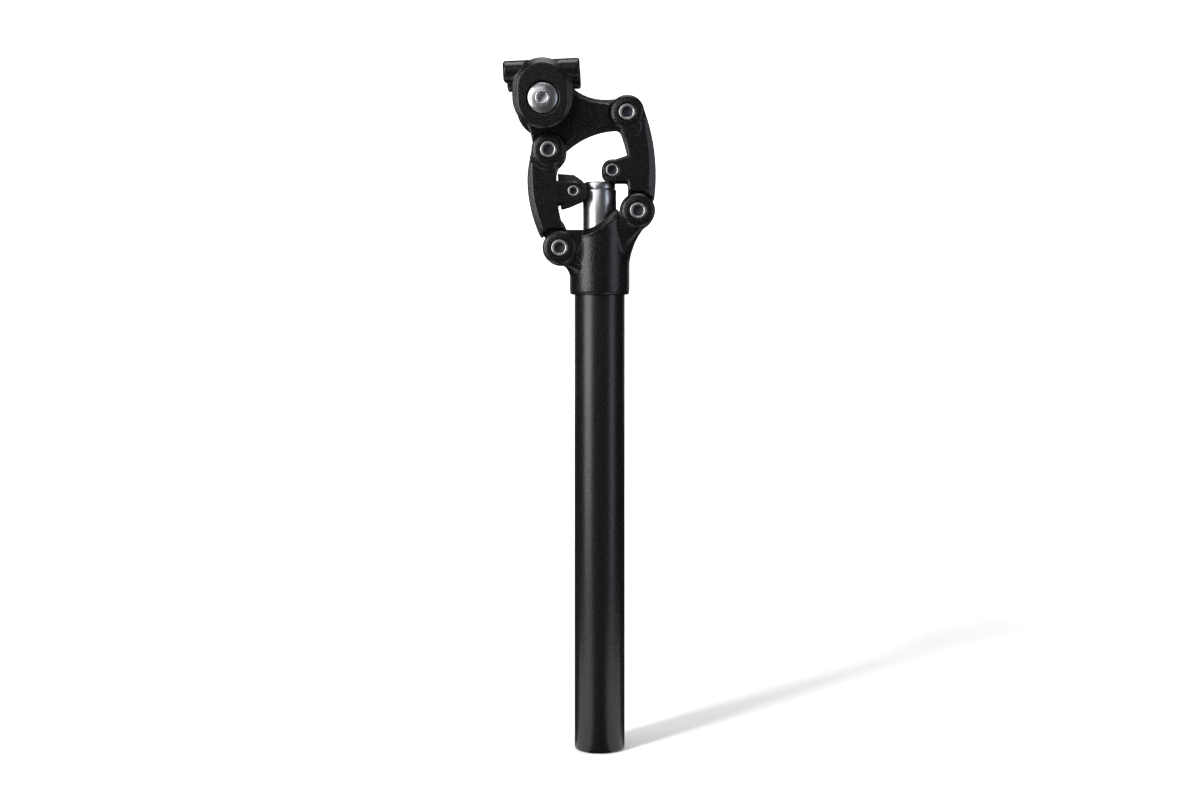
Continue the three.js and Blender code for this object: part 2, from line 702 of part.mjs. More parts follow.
function alongRails(radius, halfLength, segments) {
  const bar = new THREE.CylinderGeometry(radius, radius, 2 * halfLength, segments);
  bar.rotateZ(Math.PI / 2);
  bar.translate(0, RAIL_Y, RAIL_RISE);
  return asSolid(bar);
}

function block(xMin, xMax, yMin, yMax, zMin, zMax) {
  const box = new THREE.BoxGeometry(xMax - xMin, yMax - yMin, zMax - zMin);
  box.translate((xMin + xMax) / 2, (yMin + yMax) / 2, (zMin + zMax) / 2);
  return asSolid(box);
}

// The right clamps pass the bolt, and the left ones pass the nut's wider sleeve.
function clampBore(side) {
  const radius = side > 0 ? BARREL_NUT_R : CLAMP_BOLT_R;
  return drum(ORIGIN, radius + GAP, 0, OUT, 0, 16);
}

function innerClamp(side) {
  const half = CRADLE_LENGTH / 2;
  const web = polygon([[-13, 0], [13, 0], [14.5, 12], [-14.5, 12]]);
  const whole = join(
    drum(ORIGIN, HUB_R, CLAMP_INNER_Y, SPLIT_Y[0], 0.6),
    plate(web, CLAMP_INNER_Y + 2, SPLIT_Y[0]),
    alongRails(CRADLE_R, half, 20),
    block(-half, half, RAIL_Y - CRADLE_R + 1, RAIL_Y, RAIL_RISE - CRADLE_R, RAIL_RISE),
  );
  const outside = block(-OUT, OUT, SPLIT_Y[0], OUT, -OUT, OUT);
  return forSide(cut(whole, outside, alongRails(RAIL_R, OUT, 20), clampBore(side)), side);
}

function outerClamp(side) {
  const disc = new THREE.Shape();
  disc.absarc(0, 0, DISC_R, Math.PI, 2 * Math.PI, false);
  disc.absarc(0, DISC_RISE, DISC_R, 0, Math.PI, false);
  disc.closePath();
  const half = CRADLE_LENGTH / 2;
  const inside = block(-OUT, OUT, 0, SPLIT_Y[1], -OUT, OUT);
  const whole = join(
    plate(disc, SPLIT_Y[1] - 2, DISC_FACE_Y, DISC_BEVEL, 10),
    alongRails(CRADLE_R, half, 20),
  );
  return forSide(cut(
    whole,
    inside,
    alongRails(RAIL_R, OUT, 20),
    clampBore(side),
    drum(ORIGIN, RECESS_R, RECESS_Y, OUT),
  ), side);
}

function clampBolt() {
  const [seat, face] = CLAMP_HEAD_Y;
  const headPart = turnedAboutY([
    [0, -face], [RING_R, -face], [DISH_R, -seat - 0.6], [CLAMP_HEAD_R, -seat - 1.2],
    [CLAMP_HEAD_R, -seat - HEAD_EDGE], [CLAMP_HEAD_R - HEAD_EDGE, -seat], [0, -seat],
  ], ORIGIN, 24);
  const shank = drum(ORIGIN, CLAMP_BOLT_R, -seat - 0.2, BOLT_END_Y, 0, 16);
  const socket = hexSocket(ORIGIN, CLAMP_HEX[0], -face - PAST, -seat + 1.2);
  return cut(join(headPart, shank), socket);
}

function clampWasher(side) {
  const inner = (side > 0 ? BARREL_NUT_R : CLAMP_BOLT_R) + GAP;
  const profile = ring(inner, CLAMP_HEAD_R + 0.4, RECESS_Y + GAP, WASHER_Y + 0.2);
  return forSide(turnedAboutY(profile, ORIGIN, 20), side);
}

function clampNut() {
  const flange = WASHER_Y + 0.5;
  const face = CLAMP_HEAD_Y[1];
  return cut(
    join(
      drum(ORIGIN, CLAMP_HEAD_R, flange, face, 0.6),
      drum(ORIGIN, BARREL_NUT_R, BARREL_NUT_Y, flange + 0.5, 0, 16),
    ),
    drum(ORIGIN, CLAMP_BOLT_R + GAP, BARREL_NUT_Y - PAST, BOLT_END_Y + 1.5, 0, 16),
    hexSocket(ORIGIN, CLAMP_HEX[1], face - 2.8, face + PAST),
  );
}

// ---- Assembly -----------------------------------------------------------------------------

function pinPieces(name, group, centre, size) {
  group.add(piece(name, pin(centre, size), 'steel'));
  group.add(piece(`${name}_screw`, screw(centre, size), 'steel'));
}

function bushPieces(label, group, centre) {
  for (const [name, side] of SIDES) {
    group.add(piece(`${label}_bush_${name}`, pivotBush(centre, side), 'polymer'));
  }
}

const seatpost = new THREE.Group();
seatpost.name = 'suspension_seatpost';
seatpost.add(
  piece('post_tube', postTube(), 'anodisedTube'),
  piece('yoke', yoke(), 'powderCoat'),
  piece('guide_bush', guideBush(), 'polymer'),
  piece('wiper_seal', wiperSeal(), 'rubber'),
  piece('spring', spring(), 'springSteel'),
  piece('preload_plug', preloadPlug(), 'polymer'),
  piece('spring_spacer', springSpacer(), 'polymer'),
  piece('spring_seat', springSeat(), 'polymer'),
  piece('piston_tube', pistonTube(), 'chrome'),
  piece('piston_cap', pistonCap(), 'chrome'),
);
pinPieces('rear_lower_axle', seatpost, REAR_LOWER, PIVOT_AXLE);
pinPieces('front_lower_axle', seatpost, FRONT_LOWER, PIVOT_AXLE);

const rearLinkGroup = groupAt(REAR_LOWER);
rearLinkGroup.add(piece('rear_link', rearLink(), 'powderCoat'));
rearLinkGroup.add(piece('bumper', bumper(), 'rubber'));
pinPieces('bumper_pin', rearLinkGroup, BUMPER_PIN, BUMPER_AXLE);
pinPieces('rear_upper_axle', rearLinkGroup, LINK, PIVOT_AXLE);
bushPieces('rear_lower', rearLinkGroup, ORIGIN);
seatpost.add(rearLinkGroup);

const frontLinkGroup = groupAt(FRONT_LOWER);
frontLinkGroup.add(piece('front_link', frontLink(), 'powderCoat'));
frontLinkGroup.add(piece('roller', roller(), 'steel'));
frontLinkGroup.add(piece('roller_bush', rollerBush(), 'polymer'));
pinPieces('roller_pin', frontLinkGroup, ROLLER_PIN, ROLLER_AXLE);
pinPieces('front_upper_axle', frontLinkGroup, LINK, PIVOT_AXLE);
bushPieces('front_lower', frontLinkGroup, ORIGIN);
seatpost.add(frontLinkGroup);

const headGroup = groupAt(REAR_UPPER);
headGroup.add(piece('saddle_head', head(), 'powderCoat'));
bushPieces('rear_upper', headGroup, ORIGIN);
bushPieces('front_upper', headGroup, HEAD_FRONT);
seatpost.add(headGroup);

const clampGroup = groupAt(CLAMP_AXIS);
clampGroup.rotation.y = -CLAMP_TILT;
for (const [name, side] of SIDES) {
  clampGroup.add(piece(`inner_clamp_${name}`, innerClamp(side), 'powderCoat'));
  clampGroup.add(piece(`outer_clamp_${name}`, outerClamp(side), 'powderCoat'));
  clampGroup.add(piece(`clamp_washer_${name}`, clampWasher(side), 'steel'));
}
clampGroup.add(piece('clamp_bolt', clampBolt(), 'chrome'));
clampGroup.add(piece('clamp_nut', clampNut(), 'chrome'));
seatpost.add(clampGroup);

export default seatpost;
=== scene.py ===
"""A bicycle suspension seatpost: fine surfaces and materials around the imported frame.

Lengths in the outlines are millimetres and are turned into metres when a mesh is made.
+X is the front of the bicycle, -Y its right side, which faces the camera, and +Z is up.
"""

import json
import math

import bmesh
import bpy
from mathutils import Matrix, Vector

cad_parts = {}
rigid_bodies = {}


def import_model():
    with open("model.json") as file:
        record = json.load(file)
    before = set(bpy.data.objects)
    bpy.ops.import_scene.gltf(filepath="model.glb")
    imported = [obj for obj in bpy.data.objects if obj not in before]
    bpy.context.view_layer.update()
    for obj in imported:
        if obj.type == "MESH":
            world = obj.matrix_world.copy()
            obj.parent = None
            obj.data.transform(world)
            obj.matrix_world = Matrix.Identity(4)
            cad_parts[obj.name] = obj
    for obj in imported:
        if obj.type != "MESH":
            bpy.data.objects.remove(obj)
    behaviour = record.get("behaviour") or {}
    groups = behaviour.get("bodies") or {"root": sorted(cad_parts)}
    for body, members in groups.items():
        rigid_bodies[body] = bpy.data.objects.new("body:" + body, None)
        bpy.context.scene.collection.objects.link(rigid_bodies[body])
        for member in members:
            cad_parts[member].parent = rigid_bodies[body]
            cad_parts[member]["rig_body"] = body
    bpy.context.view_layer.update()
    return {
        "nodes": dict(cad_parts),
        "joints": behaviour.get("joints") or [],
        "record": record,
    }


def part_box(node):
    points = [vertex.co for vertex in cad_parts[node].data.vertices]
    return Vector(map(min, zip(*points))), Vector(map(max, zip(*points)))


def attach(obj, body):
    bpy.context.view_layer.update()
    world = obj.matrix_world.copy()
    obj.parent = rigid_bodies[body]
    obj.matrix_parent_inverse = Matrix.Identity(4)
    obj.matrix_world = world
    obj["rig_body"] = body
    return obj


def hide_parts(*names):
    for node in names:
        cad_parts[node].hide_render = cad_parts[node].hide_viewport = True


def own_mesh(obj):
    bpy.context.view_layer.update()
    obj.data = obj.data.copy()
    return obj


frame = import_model()

MM = 0.001
JOINTS = {joint["name"]: joint for joint in frame["joints"]}


def pivot(joint):
    """A joint's place in x and z, in millimetres."""
    x, _, z = JOINTS[joint]["pos_m"]
    return Vector((x / MM, z / MM))


REAR_LOWER = pivot("rear_link_swing")
FRONT_LOWER = pivot("front_link_swing")
REAR_UPPER = pivot("head_level")
LINK = REAR_UPPER - REAR_LOWER
FRONT_UPPER = FRONT_LOWER + LINK
CLAMP = pivot("clamp_tilt")
ROLLER_PIN = pivot("roller_spin")
BUMPER_PIN = REAR_LOWER + Vector((7.4, 30.2))
CLAMP_TILT = math.radians(2.6)

TUBE_R = 13.6
PISTON_R = 9.0
BOSS_R = 9.1
BOSS_Y = 17.0
PANEL_Y = 15.0
FORK_Y = 11.5
TONGUE_Y = 10.2
TONGUE_R = 8.8
BUSH_R = 5.0
RAIL_Y = 22.0
RAIL_RISE = 15.0
RAIL_R = 3.5
GAP = 0.3

# A pin's head lies between its seat and its face, measured out from the middle plane, and its
# recess is wider than the head by the play.
PIVOT_AXLE = {"radius": 3.6, "head": 4.4, "play": 0.5, "seat": 14.5, "face": 16.6, "hex": 4.8}
ROLLER_AXLE = {"radius": 2.4, "head": 3.4, "play": 0.35, "seat": 12.8, "face": 14.7, "hex": 4.0}
BUMPER_AXLE = {"radius": 1.9, "head": 2.9, "play": 0.35, "seat": 12.8, "face": 14.7, "hex": 3.0}


# ---- Outlines ----------------------------------------------------------------------------

def bezier(knots, t):
    """The point at t, from 0 to 1, of a Bezier curve in x and z."""
    degree = len(knots) - 1
    point = Vector((0, 0))
    for k, knot in enumerate(knots):
        point += Vector(knot) * math.comb(degree, k) * t ** k * (1 - t) ** (degree - k)
    return point


class Outline:
    """A closed line in x and z. Each point also carries how far the faces are chamfered there."""

    def __init__(self, origin=(0, 0), chamfer=0.6):
        self.origin = Vector(origin)
        self.chamfer = chamfer
        self.points = []

    def edge(self, chamfer):
        """The chamfer of the points that follow."""
        self.chamfer = chamfer
        return self

    def to(self, x, z):
        self.points.append((self.origin.x + x, self.origin.y + z, self.chamfer))
        return self

    def line(self, x, z, step=1.0):
        """A straight stretch with a point every step, so that a long edge smooths evenly."""
        start = Vector(self.points[-1][:2]) - self.origin
        end = Vector((x, z))
        count = max(1, round((end - start).length / step))
        for i in range(1, count + 1):
            self.to(*start.lerp(end, i / count))
        return self

    def curve(self, *controls, chamfer=None, count=18):
        """A quadratic or cubic Bezier curve from the last point, changing to a new chamfer."""
        start = Vector(self.points[-1][:2]) - self.origin
        knots = [start] + [Vector(controls[i:i + 2]) for i in range(0, len(controls), 2)]
        before = self.chamfer
        after = before if chamfer is None else chamfer
        for i in range(1, count + 1):
            self.chamfer = before + (after - before) * i / count
            self.to(*bezier(knots, i / count))
        return self

    def arc(self, centre, radius, start, end, chamfer=None, step=4.0):
        """An arc from one direction to another, in degrees, changing to a new chamfer."""
        count = max(2, round(abs(end - start) / step))
        before = self.chamfer
        after = before if chamfer is None else chamfer
        for i in range(count + 1):
            self.chamfer = before + (after - before) * i / count
            angle = math.radians(start + (end - start) * i / count)
            self.to(centre[0] + radius * math.cos(angle), centre[1] + radius * math.sin(angle))
        return self

    def insets(self):
        """The outline moved inwards by each point's chamfer."""
        points = [Vector(p[:2]) for p in self.points]
        area = sum(a.x * b.y - b.x * a.y for a, b in zip(points, points[1:] + points[:1]))
        turn = 1 if area > 0 else -1
        moved = []
        for i, point in enumerate(points):
            before = (point - points[i - 1]).normalized()
            after = (points[(i + 1) % len(points)] - point).normalized()
            inwards = (before + after).orthogonal().normalized()
            across = Vector((-before.y, before.x))
            inwards = inwards if inwards.dot(across) > 0 else -inwards
            stretch = min(1.6, 1 / max(0.3, inwards.dot(across)))
            moved.append(point + inwards * turn * self.points[i][2] * stretch)
        return moved


# ---- Solids ------------------------------------------------------------------------------

SHARP_ANGLE = math.radians(27)


def to_object(name, bm):
    """A mesh object in metres from a bmesh in millimetres."""
    bmesh.ops.remove_doubles(bm, verts=bm.verts, dist=1e-4)
    bmesh.ops.recalc_face_normals(bm, faces=bm.faces)
    bmesh.ops.scale(bm, vec=(MM, MM, MM), verts=bm.verts)
    mesh = bpy.data.meshes.new(name)
    bm.to_mesh(mesh)
    bm.free()
    obj = bpy.data.objects.new(name, mesh)
    bpy.context.scene.collection.objects.link(obj)
    return obj


def plate(outline, low, high, lean=1.0):
    """The outline pushed along Y. Lean is how deep its chamfers are for their width."""
    bm = bmesh.new()
    inner = outline.insets()
    rings = [[], [], [], []]
    for (x, z, chamfer), inset in zip(outline.points, inner):
        rings[0].append(bm.verts.new((inset.x, low, inset.y)))
        rings[1].append(bm.verts.new((x, low + chamfer * lean, z)))
        rings[2].append(bm.verts.new((x, high - chamfer * lean, z)))
        rings[3].append(bm.verts.new((inset.x, high, inset.y)))
    count = len(inner)
    for ring, following in zip(rings, rings[1:]):
        for i in range(count):
            j = (i + 1) % count
            bm.faces.new((ring[i], ring[j], following[j], following[i]))
    caps = [bm.faces.new(rings[0]), bm.faces.new(list(reversed(rings[3])))]
    bmesh.ops.triangulate(bm, faces=caps)
    return to_object("plate", bm)


def turned(profile, centre=(0, 0), axis="Y", segments=96, name="turned"):
    """A profile of (radius, place along the axis) pairs, turned about the Y or Z axis.

    A profile that starts on the axis makes a closed solid, and any other makes a ring.
    """
    bm = bmesh.new()
    solid = profile[0][0] == 0
    rings = []
    for radius, along in profile:
        ring = []
        for i in range(segments if radius > 0 else 1):
            angle = 2 * math.pi * i / segments
            a, b = centre[0] + radius * math.cos(angle), centre[1] + radius * math.sin(angle)
            ring.append(bm.verts.new((a, along, b) if axis == "Y" else (a, b, along)))
        rings.append(ring)
    pairs = list(zip(rings, rings[1:])) + ([] if solid else [(rings[-1], rings[0])])
    for ring, following in pairs:
        for i in range(segments):
            j = (i + 1) % segments
            corners = [ring[i % len(ring)], ring[j % len(ring)]]
            corners += [following[j % len(following)], following[i % len(following)]]
            bm.faces.new(list(dict.fromkeys(corners)))
    return to_object(name, bm)


def bar_profile(radius, low, high, chamfer):
    """Half of a round bar's section, with or without chamfered ends."""
    if not chamfer:
        return [(0, low), (radius, low), (radius, high), (0, high)]
    profile = [(0, low), (radius - chamfer, low), (radius, low + chamfer)]
    return profile + [(radius, high - chamfer), (radius - chamfer, high), (0, high)]


def drum(centre, radius, low, high, chamfer=0.0, segments=96):
    """A round bar across the bicycle."""
    return turned(bar_profile(radius, low, high, chamfer), centre, segments=segments)


def mirrored(obj):
    """The same piece on the other side of the bicycle."""
    obj.data.transform(Matrix.Scale(-1, 4, Vector((0, 1, 0))))
    obj.data.flip_normals()
    return obj


def both_sides(make, *args, low, high):
    """The same solid from low to high in Y and on the other side."""
    return [make(*args, low, high), make(*args, -high, -low)]


def slab(points, low, high):
    """A plain prism from a list of corners in x and z."""
    outline = Outline(chamfer=0.0)
    for x, z in points:
        outline.to(x, z)
    return plate(outline, low, high)


def wedge(centre, radius, start, end, low, high):
    """A sector of a disc, between two directions in degrees."""
    points = [tuple(centre)]
    for i in range(17):
        angle = math.radians(start + (end - start) * i / 16)
        points.append((centre[0] + radius * math.cos(angle), centre[1] + radius * math.sin(angle)))
    return slab(points, low, high)


def apply_modifiers(obj):
    """Puts what the modifiers make in the place of the mesh."""
    depsgraph = bpy.context.evaluated_depsgraph_get()
    mesh = bpy.data.meshes.new_from_object(obj.evaluated_get(depsgraph))
    obj.modifiers.clear()
    obj.data = mesh


def combine(base, others, operation):
    """Joins the other solids to the base, or cuts them from it, and removes them."""
    for other in others:
        modifier = base.modifiers.new("boolean", "BOOLEAN")
        modifier.operation = operation
        modifier.solver = "MANIFOLD"
        modifier.object = other
        apply_modifiers(base)
        bpy.data.objects.remove(other)
    return base


def cast(name, adds, cuts, voxel=0.34, rounds=5, blend=None, blend_rounds=30):
    """One casting or moulding: solids joined and cut, with every edge softened.

    Where blend(x, y, z) is above 0, neighbouring forms are run into each other.
    """
    body = combine(combine(adds[0], adds[1:], "UNION"), cuts, "DIFFERENCE")
    remesh = body.modifiers.new("remesh", "REMESH")
    remesh.mode = "VOXEL"
    remesh.voxel_size = voxel * MM
    smooth = body.modifiers.new("smooth", "SMOOTH")
    smooth.factor = 0.5
    smooth.iterations = rounds
    apply_modifiers(body)
    if blend:
        group = body.vertex_groups.new(name="blend")
        for vert in body.data.vertices:
            weight = blend(*(vert.co / MM))
            if weight > 0:
                group.add([vert.index], weight, "REPLACE")
        fillet = body.modifiers.new("fillet", "SMOOTH")
        fillet.factor = 0.5
        fillet.iterations = blend_rounds
        fillet.vertex_group = group.name
        apply_modifiers(body)
        body.vertex_groups.clear()
    body.name = name
    body.data.name = name
    body.data.shade_smooth()
    return body


def crisp(obj, name, width=0.25, segments=3, angle=35):
    """A machined piece: small even bevels on its sharp edges."""
    bevel = obj.modifiers.new("bevel", "BEVEL")
    bevel.width = width * MM
    bevel.segments = segments
    bevel.limit_method = "ANGLE"
    bevel.angle_limit = math.radians(angle)
    apply_modifiers(obj)
    obj.name = name
    obj.data.name = name
    obj.data.shade_smooth()
    obj.data.set_sharp_from_angle(angle=SHARP_ANGLE)
    return obj


# ---- Castings ----------------------------------------------------------------------------

LUG_R = BOSS_R - 0.4
EYE_R = BOSS_R - 0.3
ARM_EAR_Y = 8.9
COLLAR_FOOT = 247.5
COLLAR_R = 16.2
YOKE_STEP = 262.4
YOKE_BORE_R = 11.0
REAR_LUG_TOP = 282.0
LUG_Y = 13.4
LUG_WAIST_Y = 11.9


def bosses(centre, inner=FORK_Y, outer=BOSS_Y):
    """The two round bosses of a fork, slightly domed, with a bevelled rim."""
    profile = [(0, inner), (BOSS_R, inner), (BOSS_R, outer - 1.5), (BOSS_R - 1.1, outer - 0.6)]
    profile += [(BOSS_R - 2.4, outer - 0.2), (BOSS_R - 3.9, outer), (0, outer)]
    return [turned(profile, centre), mirrored(turned(profile, centre))]


def pin_bore(centre, size, outside):
    """A bore through both sides of a fork, with a recess for the head at each end."""
    end = outside + 1
    bore = drum(centre, size["radius"] + GAP, -end, end)
    recess = size["head"] + size["play"]
    return [bore] + both_sides(drum, centre, recess, low=size["seat"], high=end)


def fork_slot(centre, radius, start, end, reach=17):
    """Room for a tongue between the sides of a fork, and for its arm over its whole swing."""
    return [
        drum(centre, radius, -FORK_Y, FORK_Y),
        wedge(centre, reach, start, end, -FORK_Y, FORK_Y),
    ]


def rim_height(x):
    """The collar's rim: level behind, then rising to the front pivot."""
    start, control, end = Vector((-10, 282)), Vector((-1, 283)), Vector((12, 294.3))
    if x <= start.x:
        return start.y
    a = start.x - 2 * control.x + end.x
    b = 2 * (control.x - start.x)
    t = min(1.0, (-b + math.sqrt(b * b - 4 * a * (start.x - x))) / (2 * a))
    return start.y * (1 - t) ** 2 + 2 * control.y * t * (1 - t) + end.y * t * t


def collar():
    """The yoke's round body, whose rolled rim follows rim_height."""
    bm = bmesh.new()
    segments = 128
    # The foot's heights are places in z, and the rim's are drops below rim_height.
    foot = [(12.0, 256.0), (12.0, COLLAR_FOOT), (COLLAR_R - 1.2, COLLAR_FOOT)]
    foot += [(COLLAR_R - 0.4, COLLAR_FOOT + 0.5), (COLLAR_R - 0.1, COLLAR_FOOT + 1.6)]
    foot += [(COLLAR_R, COLLAR_FOOT + 4)]
    rim = [(COLLAR_R, -4.6), (COLLAR_R + 0.25, -4.1), (COLLAR_R + 0.25, -3.6)]
    rim += [(COLLAR_R - 0.1, -3.2), (COLLAR_R - 1.9, -0.5), (COLLAR_R - 2.6, 0), (9.5, 0.0)]
    levels = [(radius, z, False) for radius, z in foot]
    levels += [(radius, drop, True) for radius, drop in rim] + [(9.5, 256.0, False)]
    loops = []
    for radius, z, on_rim in levels:
        loop = []
        for i in range(segments):
            angle = 2 * math.pi * i / segments
            rise = rim_height(COLLAR_R * math.cos(angle)) if on_rim else 0
            place = (radius * math.cos(angle), radius * math.sin(angle), rise + z)
            loop.append(bm.verts.new(place))
        loops.append(loop)
    for loop, following in zip(loops, loops[1:] + loops[:1]):
        for i in range(segments):
            j = (i + 1) % segments
            bm.faces.new((loop[i], loop[j], following[j], following[i]))
    return to_object("collar", bm)


def ramp(value, start, end):
    """0 at start, 1 at end, and straight between."""
    return min(max((value - start) / (end - start), 0), 1)


def lug_roots(x, y, z):
    """Where the lugs run into the collar: beside the post, under the bosses, outside the slots."""
    outside = ramp(abs(y), 6, 9) if abs(x) < 16.5 else ramp(abs(x), 24, 16.5)
    level = ramp(z, 251, 254) * (ramp(z, 291, 284) if x > 0 else ramp(z, 278, 273))
    clear = 1.0
    for centre in (REAR_LOWER, FRONT_LOWER):
        clear *= ramp((Vector((x, z)) - centre).length, BOSS_R + 0.5, BOSS_R + 3)
    bore = ramp(math.hypot(x, y), TUBE_R - 0.5, TUBE_R + 0.6)
    return outside * level * clear * bore


def horn(knots, full_width):
    """A lug's foot: level slices that grow out of the round collar into a flat-sided lug."""
    steps, arc_steps, inner = 28, 10, 4.0
    side = math.copysign(1, knots[-1][0])
    bm = bmesh.new()
    loops = []
    for i in range(steps + 1):
        t = i / steps
        reach, z = bezier(knots, t)
        grown = t * t * (3 - 2 * t)
        half = LUG_WAIST_Y + (LUG_Y - LUG_WAIST_Y) * ramp(z, full_width - 8, full_width)
        corner = LUG_WAIST_Y + (1.6 - LUG_WAIST_Y) * grown
        section = [(inner, -half)]
        for sign in (-1, 1):
            for k in range(arc_steps + 1):
                angle = math.radians(90 * k / arc_steps)
                across = corner * math.sin(angle) if sign < 0 else corner * math.cos(angle)
                along = corner * math.cos(angle) if sign < 0 else corner * math.sin(angle)
                section.append((abs(reach) - corner + across, sign * (half - corner + along)))
        section.append((inner, half))
        loops.append([bm.verts.new((side * x, y, z)) for x, y in section])
    for loop, following in zip(loops, loops[1:]):
        for k in range(len(loop)):
            j = (k + 1) % len(loop)
            bm.faces.new((loop[k], loop[j], following[j], following[k]))
    bm.faces.new(loops[0])
    bm.faces.new(loops[-1])
    return to_object("horn", bm)


def yoke():
    """The casting on the tube: a round collar with a fork behind it and a higher one in front."""
    rear = Outline(chamfer=0.8)
    rear.to(REAR_LOWER.x + 3, REAR_LUG_TOP)
    rear.arc(REAR_LOWER, LUG_R, 72, 270)
    rear.edge(0.3).line(-12, REAR_LOWER.y - LUG_R).line(-9, REAR_LUG_TOP)
    front = Outline(chamfer=1.4)
    front.arc(FRONT_LOWER, LUG_R, 171, -50)
    front.edge(0.3).line(10, 284).line(6, 286).line(6, 288).line(10.5, 292)
    rear_foot = (REAR_LOWER.x, REAR_LOWER.y - LUG_R)
    lug_end = 0.873  # radians below the front pivot's level
    front_foot = FRONT_LOWER + Vector((math.cos(lug_end), -math.sin(lug_end))) * LUG_R
    inside = [(0, 240), (TUBE_R + 0.3, 240), (TUBE_R + 0.3, YOKE_STEP)]
    inside += [(YOKE_BORE_R, YOKE_STEP), (YOKE_BORE_R, 320), (0, 320)]
    adds = [collar(), plate(rear, -LUG_Y, LUG_Y), plate(front, -LUG_Y, LUG_Y)]
    adds += [horn([(-15.6, 254), (-15.9, 262.4), rear_foot], rear_foot[1])]
    adds += [horn([(15.7, 259), (16.2, 272), (20.5, 280), tuple(front_foot)], 283)]
    adds += bosses(REAR_LOWER) + bosses(FRONT_LOWER)
    cuts = [turned(inside, axis="Z")]
    cuts += fork_slot(REAR_LOWER, TONGUE_R + 0.6, 58, 216)
    cuts += fork_slot(FRONT_LOWER, 10.4, 30, 176)
    cuts += pin_bore(REAR_LOWER, PIVOT_AXLE, BOSS_Y) + pin_bore(FRONT_LOWER, PIVOT_AXLE, BOSS_Y)
    return cast("yoke_casting", adds, cuts, blend=lug_roots)


def tongue(centre):
    """The eye that turns between the sides of a fork."""
    return drum(centre, TONGUE_R, -TONGUE_Y, TONGUE_Y, chamfer=0.4)


def tongue_bore(centre):
    """The hole for a tongue's two bushes."""
    return drum(centre, BUSH_R + GAP, -TONGUE_Y - 2, TONGUE_Y + 2)


def rear_link():
    """The link behind, with a fork at its top and two ears for the bumper in front."""
    top = LINK
    body = Outline(REAR_LOWER, chamfer=3.2)
    body.to(-10.3, 5.8).curve(-14.6, 15, -17.6, 27, -17.1, 38, chamfer=2.8)
    body.curve(-17, 43, -15.6, 47, top.x - BOSS_R, top.y, chamfer=0.8)
    body.edge(0.8).arc(top, EYE_R, 175, -18)
    body.curve(-2.2, 44, -2.2, 39).curve(-2.4, 20, 2.4, 10.1).line(-5.9, 10.1)
    ear = Outline(REAR_LOWER, chamfer=1.1)
    eye = BUMPER_PIN - REAR_LOWER
    ear.to(-4, 23).line(9.2, 25.1).arc(eye, 5.4, -70, 86).line(-4, 35.6)
    shoulder = Outline(REAR_LOWER, chamfer=0.5)
    shoulder.arc(top, BOSS_R + 1.9, 200, 290).line(*top)
    neck = [(-7.4, 4.6), (5, 7), (2.2, 13), (-1.6, 18), (-11, 18), (-10.2, 8.6)]
    neck = [tuple(REAR_LOWER + Vector(p)) for p in neck]
    panel = plate(body, -PANEL_Y, PANEL_Y, lean=0.72)
    slot = fork_slot(REAR_UPPER, TONGUE_R + 0.5, -62, 184, reach=16)
    combine(panel, [plate(shoulder, -PANEL_Y - 0.8, PANEL_Y + 0.8)], "UNION")
    combine(panel, slot, "DIFFERENCE")
    adds = [panel] + bosses(REAR_UPPER) + both_sides(plate, ear, low=ARM_EAR_Y, high=PANEL_Y)
    adds += [tongue(REAR_LOWER), slab(neck, -TONGUE_Y, TONGUE_Y)]
    cuts = [tongue_bore(REAR_LOWER)] + pin_bore(REAR_UPPER, PIVOT_AXLE, BOSS_Y)
    cuts += pin_bore(BUMPER_PIN, BUMPER_AXLE, PANEL_Y)
    return cast("rear_link_casting", adds, cuts)


def front_link():
    """The link in front, with a fork at its top and two ears for the roller behind."""
    top = LINK
    body = Outline(FRONT_LOWER, chamfer=4.4)
    body.to(8.6, 5.6).curve(10.2, 16, 9.8, 30, 6.6, 42.5, chamfer=3.0)
    body.curve(5.6, 47, 4.3, 50, top.x + BOSS_R, top.y + 1.5, chamfer=0.8)
    body.edge(0.8).arc(top, EYE_R, 9, 245)
    body.curve(-6.9, 38, -5.4, 30).line(-5.4, 16).line(-4.8, 10.4).line(2.2, 10.1)
    eye = ROLLER_PIN - FRONT_LOWER
    ear = Outline(FRONT_LOWER, chamfer=1.1)
    ear.to(-4, 14.5).line(-4, 29.5).line(-6.5, 29).line(eye.x + 1.4, eye.y + 5.6)
    ear.arc(eye, 5.7, 81, 270).line(-6.2, 15.8)
    shoulder = Outline(FRONT_LOWER, chamfer=0.5)
    shoulder.to(-7.4, 39.2).line(-0.9, 39.2).line(1.6, 42.6).line(1.6, 47).line(-9.4, 44)
    neck = [(6.2, 6), (7.0, 6.3), (7.5, 15), (-4.9, 15), (-5.3, 8.2), (-4, 4)]
    neck = [tuple(FRONT_LOWER + Vector(p)) for p in neck]
    panel = plate(body, -PANEL_Y, PANEL_Y, lean=0.5)
    combine(panel, [plate(shoulder, -PANEL_Y - 0.8, PANEL_Y + 0.8)], "UNION")
    combine(panel, fork_slot(FRONT_UPPER, TONGUE_R + 0.5, 100, 184, reach=16), "DIFFERENCE")
    adds = [panel] + bosses(FRONT_UPPER) + both_sides(plate, ear, low=ARM_EAR_Y, high=PANEL_Y)
    adds += [tongue(FRONT_LOWER), slab(neck, -TONGUE_Y, TONGUE_Y)]
    adds += [wedge(FRONT_LOWER, 9.8, 112, 172, -TONGUE_Y, TONGUE_Y)]
    cuts = [tongue_bore(FRONT_LOWER)] + pin_bore(FRONT_UPPER, PIVOT_AXLE, BOSS_Y)
    cuts += pin_bore(ROLLER_PIN, ROLLER_AXLE, PANEL_Y)
    return cast("front_link_casting", adds, cuts)


